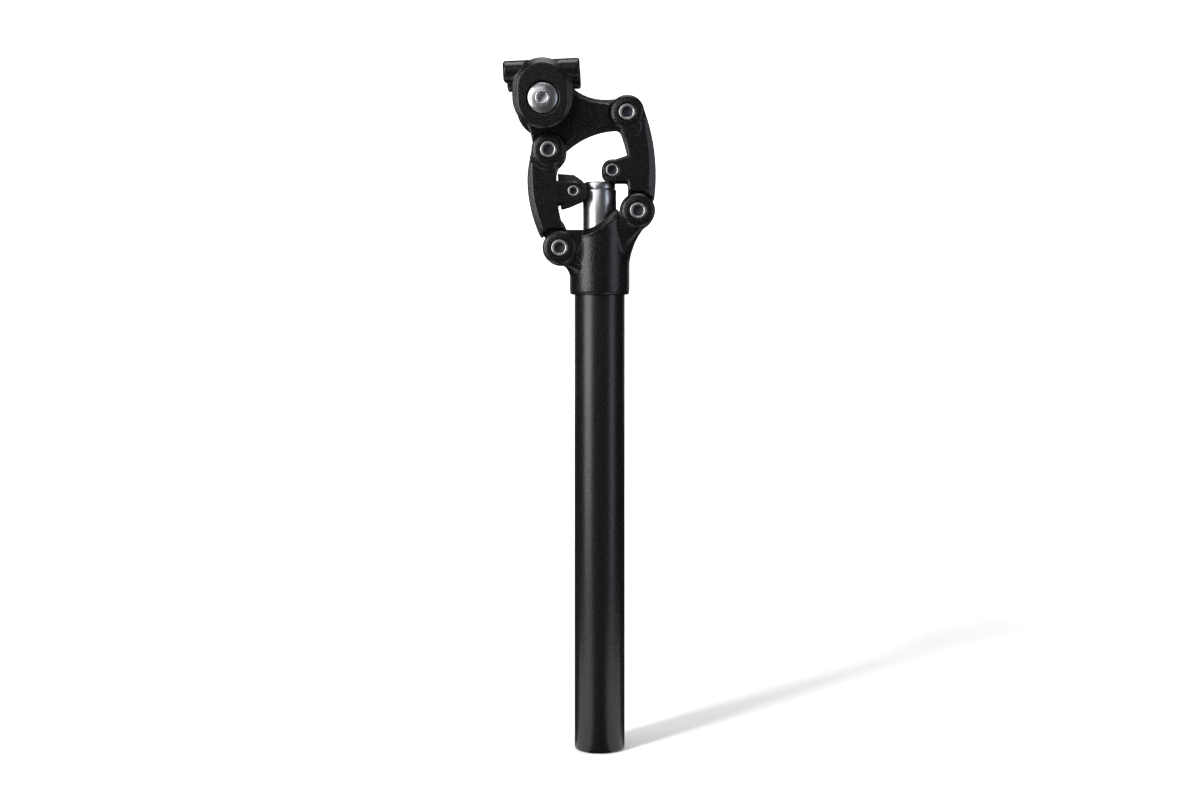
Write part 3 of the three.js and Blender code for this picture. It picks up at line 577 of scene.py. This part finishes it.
def saddle_head():
    """The casting that carries the clamp, with a tongue in each link's fork."""
    front = FRONT_UPPER - REAR_UPPER
    web = Outline(REAR_UPPER, chamfer=0.8)
    web.arc((0, 0), TONGUE_R - 0.2, 171, 360).edge(3.6)
    web.curve(14, 5, 24, 12, front.x - 3, front.y - 8)
    web.arc(front, TONGUE_R - 0.2, -108, 112)
    web.curve(30, 26.2, 20, 26, 11.2, 34.6).edge(0.8).line(-4, 40).line(-15, 30)
    web.curve(-15.6, 18, -9, 12, -8.5, 2)
    adds = [plate(web, -10.9, 10.9, lean=0.5), drum(CLAMP, 14.2, -10.9, 10.9, chamfer=0.6)]
    adds += [tongue(REAR_UPPER), tongue(FRONT_UPPER)]
    cuts = [drum(CLAMP, 5.2, -13, 13)]
    for centre in (REAR_UPPER, FRONT_UPPER):
        cuts += both_sides(drum, centre, BOSS_R + 0.7, low=TONGUE_Y, high=13)
        cuts += [tongue_bore(centre)]
    return cast("saddle_head_casting", adds, cuts)


# ---- Saddle clamp ------------------------------------------------------------------------

CRADLE_R = 5.6
CRADLE_HALF = 20.2
DISC_R = 15.9
DISC_RISE = 5.3
DISC_BEVEL = 3.3
DISC_FACE_Y = 29.0
RECESS_R = 8.7
RECESS_Y = 26.8
BARREL_NUT_R = 4.9
CLAMP_BOLT_R = 3.9


def in_clamp(obj):
    """Puts a piece drawn from the clamp bolt's axis in place, turned with the rails."""
    turn = Matrix.Rotation(-CLAMP_TILT, 4, "Y")
    place = Matrix.Translation((CLAMP.x * MM, 0, CLAMP.y * MM)) @ turn
    obj.data.transform(place)
    return obj


def along_rails(radius, half, side, chamfer=0.0):
    """A round bar along one saddle rail, drawn from the clamp bolt's axis."""
    bar = turned(bar_profile(radius, -half, half, chamfer), axis="Z")
    bar.data.transform(Matrix.Rotation(math.radians(90), 4, "Y"))
    bar.data.transform(Matrix.Translation((0, side * RAIL_Y * MM, RAIL_RISE * MM)))
    return bar


def block(low, high):
    """A box between two corners."""
    bm = bmesh.new()
    bmesh.ops.create_cube(bm, size=1)
    for vert in bm.verts:
        vert.co = Vector([a + (b - a) * (c + 0.5) for a, b, c in zip(low, high, vert.co)])
    return to_object("block", bm)


def span(side, near, far):
    """A pair of Y values in rising order for one side of the bicycle."""
    return sorted((side * near, side * far))


def outer_clamp(side, name):
    """An oval disc with half of a rail's cradle. Its bevel is narrow below and wide above."""
    disc = Outline(chamfer=DISC_BEVEL)
    disc.arc((0, 0), DISC_R, 180, 270, chamfer=1.0)
    disc.arc((0, 0), DISC_R, 274, 360, chamfer=DISC_BEVEL)
    disc.arc((0, DISC_RISE), DISC_R, 0, 180)
    low, high = span(side, RAIL_Y - 3, DISC_FACE_Y)
    bore = BARREL_NUT_R if side > 0 else CLAMP_BOLT_R
    inner_low, inner_high = span(side, 0, RAIL_Y + 0.3)
    cuts = [block((-40, inner_low, -40), (40, inner_high, 40)), along_rails(RAIL_R, 40, side)]
    cuts += [drum((0, 0), bore + GAP, -40, 40), drum((0, 0), RECESS_R, *span(side, RECESS_Y, 40))]
    adds = [plate(disc, low, high, lean=0.75), along_rails(CRADLE_R, CRADLE_HALF, side, 0.9)]
    return in_clamp(cast(name, adds, cuts, rounds=4))


def inner_clamp(side, name):
    """The disc inside a rail, with the other half of its cradle and a web between."""
    web = [(-13, 0), (13, 0), (14.5, 12), (-14.5, 12)]
    low, high = span(side, 11.2, RAIL_Y - 0.3)
    web_low, web_high = span(side, 13.2, RAIL_Y - 0.3)
    bar_low, bar_high = span(side, RAIL_Y - CRADLE_R + 1, RAIL_Y)
    bore = BARREL_NUT_R if side > 0 else CLAMP_BOLT_R
    cut_low, cut_high = span(side, RAIL_Y - 0.3, 40)
    adds = [drum((0, 0), 13, low, high, chamfer=0.6), slab(web, web_low, web_high)]
    adds += [along_rails(CRADLE_R, CRADLE_HALF, side, 0.9)]
    foot = (-CRADLE_HALF + 0.8, bar_low, RAIL_RISE - CRADLE_R)
    adds += [block(foot, (CRADLE_HALF - 0.8, bar_high, RAIL_RISE))]
    cuts = [block((-40, cut_low, -40), (40, cut_high, 40)), along_rails(RAIL_R, 40, side)]
    cuts += [drum((0, 0), bore + GAP, -40, 40)]
    return in_clamp(cast(name, adds, cuts, rounds=4))


# ---- Pins, bolt and nut ------------------------------------------------------------------

THREAD_SHARE = 0.62
SOCKET_LAND = 0.25


def hexagon(centre, across_flats, low, high):
    """A hexagon socket's room."""
    return drum(centre, across_flats / math.sqrt(3), low, high, segments=6)


def crown(across_flats, head, face, share=0.45):
    """A head's end in profile: flat over the socket, then a rounded bead out to the rim."""
    mouth = across_flats / math.sqrt(3) + SOCKET_LAND
    middle, half = (mouth + head) / 2, (head - mouth) / 2
    points = [(0, -face + half * share)]
    for i in range(17):
        angle = math.pi * i / 16
        drop = half * share * (1 - math.sin(angle))
        points.append((middle - half * math.cos(angle), -face + drop))
    return points


def pin(name, centre, size):
    """A pin with its head on the right, hollow on the left for its screw."""
    radius, head, seat, face = size["radius"], size["head"], size["seat"], size["face"]
    profile = crown(size["hex"], head, face) + [(head, -seat - GAP), (radius, -seat - GAP)]
    profile += [(radius, seat - GAP - 0.4), (radius - 0.4, seat - GAP), (0, seat - GAP)]
    body = turned(profile, centre, name=name)
    cuts = [hexagon(centre, size["hex"], -face - 1, -face + 2.4)]
    cuts += [drum(centre, radius * THREAD_SHARE, 2, seat)]
    return crisp(combine(body, cuts, "DIFFERENCE"), name, 0.06, 2)


def screw(name, centre, size):
    """The screw that closes a pin from the left."""
    head, seat, face = size["head"], size["seat"], size["face"]
    shank = size["radius"] * THREAD_SHARE - GAP
    profile = crown(size["hex"], head, face) + [(head, -seat - GAP), (shank, -seat - GAP)]
    profile += [(shank, -4.3), (shank - 0.3, -4), (0, -4)]
    body = turned(profile, centre, name=name)
    cuts = [hexagon(centre, size["hex"], -face - 1, -face + 1.5)]
    return crisp(mirrored(combine(body, cuts, "DIFFERENCE")), name, 0.06, 2)


def clamp_bolt(name):
    """A bolt whose boss stands on a shallow cone."""
    across_flats, boss_r, face = 4.4, 3.6, 30.2
    profile = crown(across_flats, boss_r, face) + [(3.65, -29.45), (3.9, -29.4)]
    profile += [(4.1, -29.5), (7.2, -28.9), (7.5, -28.7), (7.6, -28.45), (7.4, -28.2)]
    profile += [(CLAMP_BOLT_R, -28.2), (CLAMP_BOLT_R, 24.4), (CLAMP_BOLT_R - 0.6, 25), (0, 25)]
    body = turned(profile, segments=144, name=name)
    combine(body, [hexagon((0, 0), across_flats, -31, -27)], "DIFFERENCE")
    return in_clamp(crisp(body, name, 0.06, 2))


def clamp_nut(name):
    """A nut with a long sleeve, which the bolt screws into."""
    profile = [(0, 12), (BARREL_NUT_R - 0.4, 12), (BARREL_NUT_R, 12.4), (BARREL_NUT_R, 28.1)]
    profile += [(7.2, 28.1), (7.6, 28.5), (7.6, 29.5), (7.0, 30.2), (0, 30.2)]
    body = turned(profile, segments=144, name=name)
    cuts = [drum((0, 0), CLAMP_BOLT_R + GAP, 11, 26.5), hexagon((0, 0), 6, 27.4, 31)]
    return in_clamp(crisp(combine(body, cuts, "DIFFERENCE"), name, 0.15, 3))


def clamp_washer(name, side):
    inner = (BARREL_NUT_R if side > 0 else CLAMP_BOLT_R) + GAP
    profile = [(inner, 27.1), (7.9, 27.1), (8.0, 27.2), (8.0, 27.7), (7.9, 27.8), (inner, 27.8)]
    washer = turned(profile, name=name)
    return in_clamp(washer if side > 0 else mirrored(washer))


# ---- Turned parts ------------------------------------------------------------------------

TUBE_BORE_R = 11.3
PISTON_BORE_R = 7.2
SPRING_WIRE_R = 1.7
SPRING_COIL_R = 8.9
SPRING_TURNS = 16


def height(node, end):
    """The lowest (0) or highest (1) z of a CAD node, in millimetres."""
    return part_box(node)[end].z / MM


def lathe(name, profile, segments=160, width=0.12):
    """A piece turned about the post's axis, with small bevels."""
    piece = turned(profile, axis="Z", segments=segments, name=name)
    return crisp(piece, name, width, 2, angle=30)


def post_tube():
    top = height("post_tube", 1)
    profile = [(TUBE_BORE_R + 0.3, 0), (TUBE_R - 1.5, 0), (TUBE_R - 0.85, 0.2)]
    profile += [(TUBE_R - 0.35, 0.6), (TUBE_R - 0.08, 1.15), (TUBE_R, 1.8)]
    profile += [(TUBE_R, z) for z in (60, 120, 180, top - 0.4)]
    profile += [(TUBE_R - 0.4, top), (TUBE_BORE_R, top), (TUBE_BORE_R, 0.5)]
    return lathe("post_tube_fine", profile, segments=256, width=0.1)


def preload_plug():
    foot, top, outer = 1.0, height("preload_plug", 1), TUBE_BORE_R - GAP
    body = turned([(0, foot), (outer, foot), (outer, top), (0, top)], axis="Z")
    socket = turned([(0, 0), (4.6, 0), (4.6, foot + 3.6), (0, foot + 3.6)], axis="Z", segments=6)
    return crisp(combine(body, [socket], "DIFFERENCE"), "preload_plug_fine", 0.5, 3)


def spring_end(name, node, peg_up):
    """A cup that carries one end of the spring, with a peg inside the coil."""
    low, high, outer = height(node, 0), height(node, 1), TUBE_BORE_R - GAP
    seat = 24.0 if peg_up else low + 9
    if peg_up:
        profile = [(0, low), (outer, low), (outer, seat), (6.6, seat), (6, high), (0, high)]
    else:
        profile = [(0, low), (6, low), (6.6, seat), (outer, seat), (outer, high), (0, high)]
    return lathe(name, profile, width=0.3)


def spring_fine():
    """A coil of round wire, closed at both ends."""
    low = height("spring", 0) + SPRING_WIRE_R
    high = height("spring", 1) - SPRING_WIRE_R
    dead = 2 * SPRING_WIRE_R + GAP
    flat = 1.1 / SPRING_TURNS
    bm = bmesh.new()
    steps, sides = SPRING_TURNS * 40, 14
    rings = []
    for i in range(steps + 1):
        t = i / steps
        ends = min(t / flat, 1) + 1 - min((1 - t) / flat, 1)
        z = low + dead * ends + (high - low - 2 * dead) * ramp(t, flat, 1 - flat)
        turn = 2 * math.pi * SPRING_TURNS * t
        ring = []
        for k in range(sides):
            angle = 2 * math.pi * k / sides
            radius = SPRING_COIL_R + SPRING_WIRE_R * math.cos(angle)
            rise = SPRING_WIRE_R * math.sin(angle)
            point = (radius * math.cos(turn), radius * math.sin(turn), z + rise)
            ring.append(bm.verts.new(point))
        rings.append(ring)
    for ring, following in zip(rings, rings[1:]):
        for k in range(sides):
            j = (k + 1) % sides
            bm.faces.new((ring[k], ring[j], following[j], following[k]))
    bm.faces.new(rings[0])
    bm.faces.new(rings[-1])
    coil = to_object("spring_coil", bm)
    coil.data.shade_smooth()
    return coil


def piston():
    foot, top, flange = height("piston_tube", 0), height("piston_tube", 1), TUBE_BORE_R - GAP
    profile = [(PISTON_BORE_R, foot), (flange, foot), (flange, foot + 4), (PISTON_R, foot + 4)]
    profile += [(PISTON_R, 290), (PISTON_R, top - 0.55), (PISTON_R - 0.15, top - 0.2)]
    profile += [(PISTON_R - 0.5, top), (PISTON_BORE_R, top)]
    return lathe("piston_fine", profile, segments=192, width=0.08)


def piston_cap():
    foot, top = height("piston_cap", 0), height("piston_cap", 1)
    spigot, shoulder = PISTON_BORE_R - GAP, height("piston_tube", 1) + GAP
    outer = PISTON_R - 0.6
    profile = [(0, foot), (spigot, foot), (spigot, shoulder), (outer - 0.2, shoulder)]
    profile += [(outer, shoulder + 0.2), (outer, top - 0.9), (outer - 0.2, top - 0.4)]
    profile += [(outer - 0.7, top - 0.06), (outer - 1.2, top), (0, top)]
    return lathe("piston_cap_fine", profile, segments=192, width=0.06)


def guide_bush():
    inner, outer, flange = PISTON_R + GAP, YOKE_BORE_R - GAP, TUBE_R - 0.2
    low, high = height("guide_bush", 0), height("guide_bush", 1)
    step = YOKE_STEP - GAP
    profile = [(inner, low), (flange, low), (flange, step), (outer, step), (outer, high)]
    return lathe("guide_bush_fine", profile + [(inner, high)])


def wiper_seal():
    low, high = height("wiper_seal", 0), height("wiper_seal", 1)
    inner, outer = PISTON_R + 0.6, YOKE_BORE_R - GAP
    profile = [(inner, low), (outer, low), (outer, high - 1.2), (inner + 0.3, high)]
    profile += [(inner - 0.35, high), (inner, high - 1.9)]
    return lathe("wiper_seal_fine", profile)


def pivot_bush(name, centre, side):
    inner = PIVOT_AXLE["radius"] + GAP
    start, flange_start, end, flange_r = 0.4, 10.5, 11.2, 7.4
    profile = [(inner, start), (BUSH_R, start), (BUSH_R, flange_start)]
    profile += [(flange_r, flange_start), (flange_r, end), (inner, end)]
    bush = crisp(turned(profile, centre), name, 0.1, 2)
    return bush if side > 0 else mirrored(bush)


def roller():
    half, bore = ARM_EAR_Y - 0.5, ROLLER_AXLE["radius"] + 1.8
    radius = 5.3
    profile = [(bore, -half), (radius - 0.6, -half), (radius, -half + 0.6)]
    profile += [(radius, half - 0.6), (radius - 0.6, half), (bore, half)]
    return crisp(turned(profile, ROLLER_PIN), "roller_fine", 0.2, 3)


def roller_bush():
    half, inner = ARM_EAR_Y - 0.4, ROLLER_AXLE["radius"] + GAP
    profile = [(inner, -half), (inner + 1.2, -half), (inner + 1.2, half), (inner, half)]
    return crisp(turned(profile, ROLLER_PIN), "roller_bush_fine", 0.1, 2)


def bumper():
    """The rubber wedge between the rear link's ears, hollowed around the piston."""
    form = Outline(REAR_LOWER, chamfer=0.5)
    form.to(-1.2, 39.6).line(7.6, 39).line(11.6, 36.3).line(14.6, 33)
    form.line(14.6, 26.8).line(12.8, 25.6).line(5.2, 22.3).line(0.6, 21)
    side = ARM_EAR_Y - GAP
    hollow = turned([(0, 260), (PISTON_R + GAP, 260), (PISTON_R + GAP, 330), (0, 330)], axis="Z")
    cuts = [hollow, drum(BUMPER_PIN, BUMPER_AXLE["radius"] + GAP, -FORK_Y, FORK_Y)]
    return cast("bumper_rubber", [plate(form, -side, side)], cuts, voxel=0.25, rounds=3)


# ---- Materials ---------------------------------------------------------------------------

# The Mix node's sockets for colours, which share their names with those for numbers.
MIX_COLOR_A, MIX_COLOR_B, MIX_COLOR_RESULT = 6, 7, 2


class Finish:
    """A material with a Principled shader, whose surface is worked out from object coordinates."""

    def __init__(self, name, color, roughness, metallic=0.0, **sockets):
        self.material = bpy.data.materials.new(name)
        self.material.use_nodes = True
        self.tree = self.material.node_tree
        self.shader = self.tree.nodes["Principled BSDF"]
        self.shader.inputs["Base Color"].default_value = (*color, 1)
        self.shader.inputs["Roughness"].default_value = roughness
        self.shader.inputs["Metallic"].default_value = metallic
        for socket, value in sockets.items():
            self.shader.inputs[socket.replace("_", " ")].default_value = value
        self.coordinates = self.node("ShaderNodeTexCoord").outputs["Object"]
        self.normal = None

    def node(self, kind, **values):
        made = self.tree.nodes.new(kind)
        for key, value in values.items():
            if key in made.inputs:
                made.inputs[key].default_value = value
            else:
                setattr(made, key, value)
        return made

    def link(self, output, target):
        self.tree.links.new(output, target)

    def noise(self, scale, detail=2.0, stretch=(1, 1, 1), **values):
        """Noise in object space: scale is in cells per metre."""
        mapping = self.node("ShaderNodeMapping")
        mapping.inputs["Scale"].default_value = stretch
        noise = self.node("ShaderNodeTexNoise", Scale=scale, Detail=detail, **values)
        self.link(self.coordinates, mapping.inputs["Vector"])
        self.link(mapping.outputs["Vector"], noise.inputs["Vector"])
        return noise.outputs["Fac"]

    def cells(self, scale, **values):
        """Round cells in object space, per metre."""
        cells = self.node("ShaderNodeTexVoronoi", Scale=scale, **values)
        self.link(self.coordinates, cells.inputs["Vector"])
        return cells.outputs["Distance"]

    def spread(self, source, low, high, start=0.3, end=0.7):
        """The source, from start to end, spread over low to high."""
        remap = self.node("ShaderNodeMapRange")
        ends = {"From Min": start, "From Max": end, "To Min": low, "To Max": high}
        for socket, value in ends.items():
            remap.inputs[socket].default_value = value
        self.link(source, remap.inputs["Value"])
        return remap.outputs["Result"]

    def roughen(self, source, low, high):
        """Varies the roughness from low to high."""
        self.link(self.spread(source, low, high), self.shader.inputs["Roughness"])
        return self

    def tint(self, source, dark, light):
        """Varies the colour from dark to light."""
        mix = self.node("ShaderNodeMix", data_type="RGBA")
        mix.inputs[MIX_COLOR_A].default_value = (*dark, 1)
        mix.inputs[MIX_COLOR_B].default_value = (*light, 1)
        self.link(self.spread(source, 0, 1), mix.inputs["Factor"])
        self.link(mix.outputs[MIX_COLOR_RESULT], self.shader.inputs["Base Color"])
        return self

    def bump(self, source, strength, distance):
        """Adds relief. Distance is in millimetres."""
        bump = self.node("ShaderNodeBump", Strength=strength, Distance=distance * MM)
        self.link(source, bump.inputs["Height"])
        if self.normal:
            self.link(self.normal, bump.inputs["Normal"])
        self.normal = bump.outputs["Normal"]
        self.link(self.normal, self.shader.inputs["Normal"])
        return self


def powder_coat():
    coat = Finish("powder_coat", (0.002, 0.002, 0.0023), 0.25, Specular_IOR_Level=0.5)
    coat.tint(coat.noise(900), (0.001, 0.001, 0.0012), (0.003, 0.003, 0.0034))
    coat.roughen(coat.noise(1400), 0.2, 0.32)
    coat.bump(coat.noise(420, 1.0), 0.2, 0.04)
    return coat.bump(coat.noise(1200, 2.0, Roughness=0.6), 1.0, 0.16).material


def satin_tube():
    coat = Finish("satin_tube", (0.0025, 0.0025, 0.0028), 0.3)
    coat.tint(coat.noise(1500), (0.0015, 0.0015, 0.0018), (0.0035, 0.0035, 0.0038))
    coat.roughen(coat.noise(2200), 0.24, 0.36)
    return coat.bump(coat.noise(1500, 2.0), 0.8, 0.07).material


def hard_chrome():
    chrome = Finish("hard_chrome", (0.72, 0.73, 0.76), 0.06, metallic=1.0)
    chrome.roughen(chrome.noise(260, 4.0, stretch=(1, 1, 0.1)), 0.27, 0.37)
    return chrome.bump(chrome.noise(1800, 2.0), 0.4, 0.03).material


def zinc_steel():
    steel = Finish("zinc_steel", (0.74, 0.73, 0.71), 0.36, metallic=1.0)
    return steel.roughen(steel.noise(1500, 3.0), 0.32, 0.42).material


def ground_steel():
    steel = Finish("ground_steel", (0.35, 0.35, 0.36), 0.3, metallic=1.0)
    return steel.roughen(steel.noise(900, 3.0, stretch=(1, 0.05, 1)), 0.2, 0.4).material


# Painted shade: a near-black colour that stands in for the shade inside the deep hexagon sockets.
def painted_socket_shade():
    return Finish("painted_socket_shade", (0.007, 0.008, 0.013), 0.5).material


def oiled_spring():
    steel = Finish("oiled_spring", (0.08, 0.08, 0.09), 0.35, metallic=1.0)
    return steel.roughen(steel.noise(700, 3.0), 0.25, 0.45).material


def acetal():
    plastic = Finish("acetal", (0.02, 0.02, 0.022), 0.45)
    return plastic.bump(plastic.noise(1800), 0.2, 0.02).material


def sintered_bronze():
    bronze = Finish("sintered_bronze", (0.42, 0.27, 0.12), 0.45, metallic=0.85)
    bronze.tint(bronze.noise(2400), (0.25, 0.15, 0.07), (0.5, 0.34, 0.16))
    return bronze.bump(bronze.cells(2600), 0.3, 0.03).material


def moulded_rubber():
    rubber = Finish("moulded_rubber", (0.008, 0.008, 0.009), 0.6)
    return rubber.bump(rubber.noise(1300, 3.0), 0.4, 0.05).material


PAINTED_SOCKET_SHADE = painted_socket_shade()
MATERIALS = {
    "tube_black": satin_tube(),
    "casting_black": powder_coat(),
    "chrome": hard_chrome(),
    "steel": zinc_steel(),
    "roller_steel": ground_steel(),
    "spring_steel": oiled_spring(),
    "polymer_black": acetal(),
    "bush_bronze": sintered_bronze(),
    "rubber_black": moulded_rubber(),
}


# ---- Assembly ----------------------------------------------------------------------------

SLOTS = {part["node"]: part["material_slot"] for part in frame["record"]["subparts"]}


def stands_for(piece, node):
    """The piece takes the CAD node's place, its body and its finish."""
    piece.data.materials.clear()
    piece.data.materials.append(MATERIALS[SLOTS[node]])
    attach(piece, frame["nodes"][node]["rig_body"])
    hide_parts(node)
    return piece


def paint_socket_shade(piece, centre, size):
    """Painted shade: a near-black colour on the hexagon's walls and floor, inside the plated head,
    for the shade in the deep socket.
    """
    piece.data.materials.append(PAINTED_SOCKET_SHADE)
    reach = size["hex"] / math.sqrt(3) + SOCKET_LAND + 0.05
    for face in piece.data.polygons:
        x, y, z = face.center / MM
        inside = (Vector((x, z)) - centre).length < reach
        if inside and size["face"] - 3 < abs(y) < size["face"]:
            face.material_index = 1


for node, obj in frame["nodes"].items():
    obj.data.materials.clear()
    obj.data.materials.append(MATERIALS[SLOTS[node]])

stands_for(post_tube(), "post_tube")
stands_for(yoke(), "yoke")
stands_for(guide_bush(), "guide_bush")
stands_for(wiper_seal(), "wiper_seal")
stands_for(preload_plug(), "preload_plug")
stands_for(spring_end("spring_spacer_fine", "spring_spacer", True), "spring_spacer")
stands_for(spring_end("spring_seat_fine", "spring_seat", False), "spring_seat")
stands_for(piston(), "piston_tube")
stands_for(piston_cap(), "piston_cap")
stands_for(rear_link(), "rear_link")
stands_for(front_link(), "front_link")
stands_for(saddle_head(), "saddle_head")
stands_for(roller(), "roller")
stands_for(roller_bush(), "roller_bush")
stands_for(bumper(), "bumper")

coil = stands_for(spring_fine(), "spring")
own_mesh(coil)

PINS = {
    "rear_lower_axle": (REAR_LOWER, PIVOT_AXLE),
    "front_lower_axle": (FRONT_LOWER, PIVOT_AXLE),
    "rear_upper_axle": (REAR_UPPER, PIVOT_AXLE),
    "front_upper_axle": (FRONT_UPPER, PIVOT_AXLE),
    "roller_pin": (ROLLER_PIN, ROLLER_AXLE),
    "bumper_pin": (BUMPER_PIN, BUMPER_AXLE),
}
for node, (centre, size) in PINS.items():
    paint_socket_shade(stands_for(pin(node + "_fine", centre, size), node), centre, size)
    screw_node = node + "_screw"
    head = stands_for(screw(screw_node + "_fine", centre, size), screw_node)
    paint_socket_shade(head, centre, size)

PIVOTS = {
    "rear_lower": REAR_LOWER,
    "front_lower": FRONT_LOWER,
    "rear_upper": REAR_UPPER,
    "front_upper": FRONT_UPPER,
}
for hand, side in (("left", 1), ("right", -1)):
    for pivot_name, centre in PIVOTS.items():
        node = f"{pivot_name}_bush_{hand}"
        stands_for(pivot_bush(node + "_fine", centre, side), node)
    stands_for(inner_clamp(side, f"inner_clamp_{hand}_casting"), f"inner_clamp_{hand}")
    stands_for(outer_clamp(side, f"outer_clamp_{hand}_casting"), f"outer_clamp_{hand}")
    stands_for(clamp_washer(f"clamp_washer_{hand}_fine", side), f"clamp_washer_{hand}")
stands_for(clamp_bolt("clamp_bolt_fine"), "clamp_bolt")
stands_for(clamp_nut("clamp_nut_fine"), "clamp_nut")


# ---- Floor, lights and camera ------------------------------------------------------------

def glowing_paper():
    """White paper with painted light: it glows faintly near the post and brightly farther away, so
    that the post's shadow fades out and the surroundings stay white.
    """
    paper = Finish("glowing_paper", (0.5, 0.5, 0.5), 0.9, Specular_IOR_Level=0.1)
    flat = paper.node("ShaderNodeVectorMath", operation="MULTIPLY")
    flat.inputs[1].default_value = (1, 1, 0)
    paper.link(paper.coordinates, flat.inputs[0])
    reach = paper.node("ShaderNodeVectorMath", operation="LENGTH")
    paper.link(flat.outputs["Vector"], reach.inputs[0])
    # Painted light: emission from 0.12 within 0.1 m of the post's axis, rising to 1.05 at 1.25 m
    # and beyond.
    glow = paper.spread(reach.outputs["Value"], 0.12, 1.05, start=0.1, end=1.25)
    paper.link(glow, paper.shader.inputs["Emission Strength"])
    paper.shader.inputs["Emission Color"].default_value = (1, 1, 1, 1)
    return paper.bump(paper.noise(300), 0.05, 0.05).material


def sweep(paper):
    """A pale round floor that curves up into a wall on every side."""
    flat, curve, top = 2400, 600, 2600
    profile = [(0, -0.2), (flat, -0.2)]
    for i in range(1, 17):
        angle = math.radians(90 * i / 16)
        profile.append((flat + curve * math.sin(angle), curve * (1 - math.cos(angle))))
    obj = turned(profile + [(flat + curve, top)], axis="Z", segments=128, name="studio_sweep")
    obj.data.shade_smooth()
    obj.data.materials.append(paper)
    return obj


def mirrored_floor(name, start, end, paper):
    """A sector of the floor beside the post, which the post mirrors. Its sizes are in metres."""
    radius, z, steps = 0.3, -0.0001, 32
    bm = bmesh.new()
    centre = bm.verts.new((0, 0, z))
    rim = []
    for i in range(steps + 1):
        angle = math.radians(start + (end - start) * i / steps)
        rim.append(bm.verts.new((radius * math.cos(angle), radius * math.sin(angle), z)))
    for first, second in zip(rim, rim[1:]):
        bm.faces.new((centre, first, second))
    mesh = bpy.data.meshes.new(name)
    bm.to_mesh(mesh)
    bm.free()
    mesh.materials.append(paper)
    obj = bpy.data.objects.new(name, mesh)
    bpy.context.scene.collection.objects.link(obj)
    return obj


def softbox(name, place, target, size, power, spread=180, color=(1, 1, 1)):
    """A rectangular light. Places and sizes are in metres, and power is in watts."""
    light = bpy.data.lights.new(name, "AREA")
    light.shape = "RECTANGLE"
    light.size, light.size_y = size
    light.energy = power
    light.spread = math.radians(spread)
    light.color = color
    obj = bpy.data.objects.new(name, light)
    obj.location = place
    direction = Vector(target) - Vector(place)
    obj.rotation_euler = direction.to_track_quat("-Z", "Y").to_euler()
    bpy.context.scene.collection.objects.link(obj)
    return obj


def around(azimuth, distance, z):
    """A place around the post: azimuth 0 is the camera's side, and positive is to its right."""
    angle = math.radians(azimuth)
    return (distance * math.sin(angle), -distance * math.cos(angle), z)


paper = glowing_paper()
backdrop = sweep(paper)
backdrop.visible_glossy = False
for name, start in (("floor_left", 165), ("floor_right", 300)):
    mirrored_floor(name, start, start + 75, paper)
middle = (0, 0, 0.2)
softbox("key", around(-55, 0.95, 0.42), middle, (0.6, 0.85), 8.0)
softbox("edge", around(58, 0.85, 0.3), middle, (0.34, 0.7), 1.3, color=(0.82, 0.87, 1))
softbox("front_card", (0, -1.7, 0.45), middle, (1.8, 1.0), 0.12)
softbox("front_top", around(-18, 1.0, 0.8), (0, 0, 0.33), (0.5, 0.3), 0.8)
softbox("overhead", (0, -0.1, 1.2), (0, -0.1, 0), (0.65, 0.6), 1.2, 80)
for name, azimuth in (("back_left", -155), ("back_right", 155)):
    softbox(name, around(azimuth, 1.2, 0.55), middle, (0.3, 0.9), 0.8)
caster = softbox("shadow_caster", around(-38, 1.6, 1.36), middle, (0.2, 0.2), 54)
caster.visible_glossy = False

world = bpy.data.worlds.new("studio")
world.use_nodes = True
world.node_tree.nodes["Background"].inputs["Color"].default_value = (1, 1, 1, 1)
world.node_tree.nodes["Background"].inputs["Strength"].default_value = 0.03
bpy.context.scene.world = world

camera = bpy.data.cameras.new("camera")
camera.sensor_width = 36
camera.lens = 55.49
view = bpy.data.objects.new("camera", camera)
view.location = (0.19 * MM, -1.0, 241.4 * MM)
view.rotation_euler = (math.radians(90 - 3.063), 0, 0)
bpy.context.scene.collection.objects.link(view)
bpy.context.scene.camera = view
bpy.context.scene.view_settings.view_transform = "Standard"
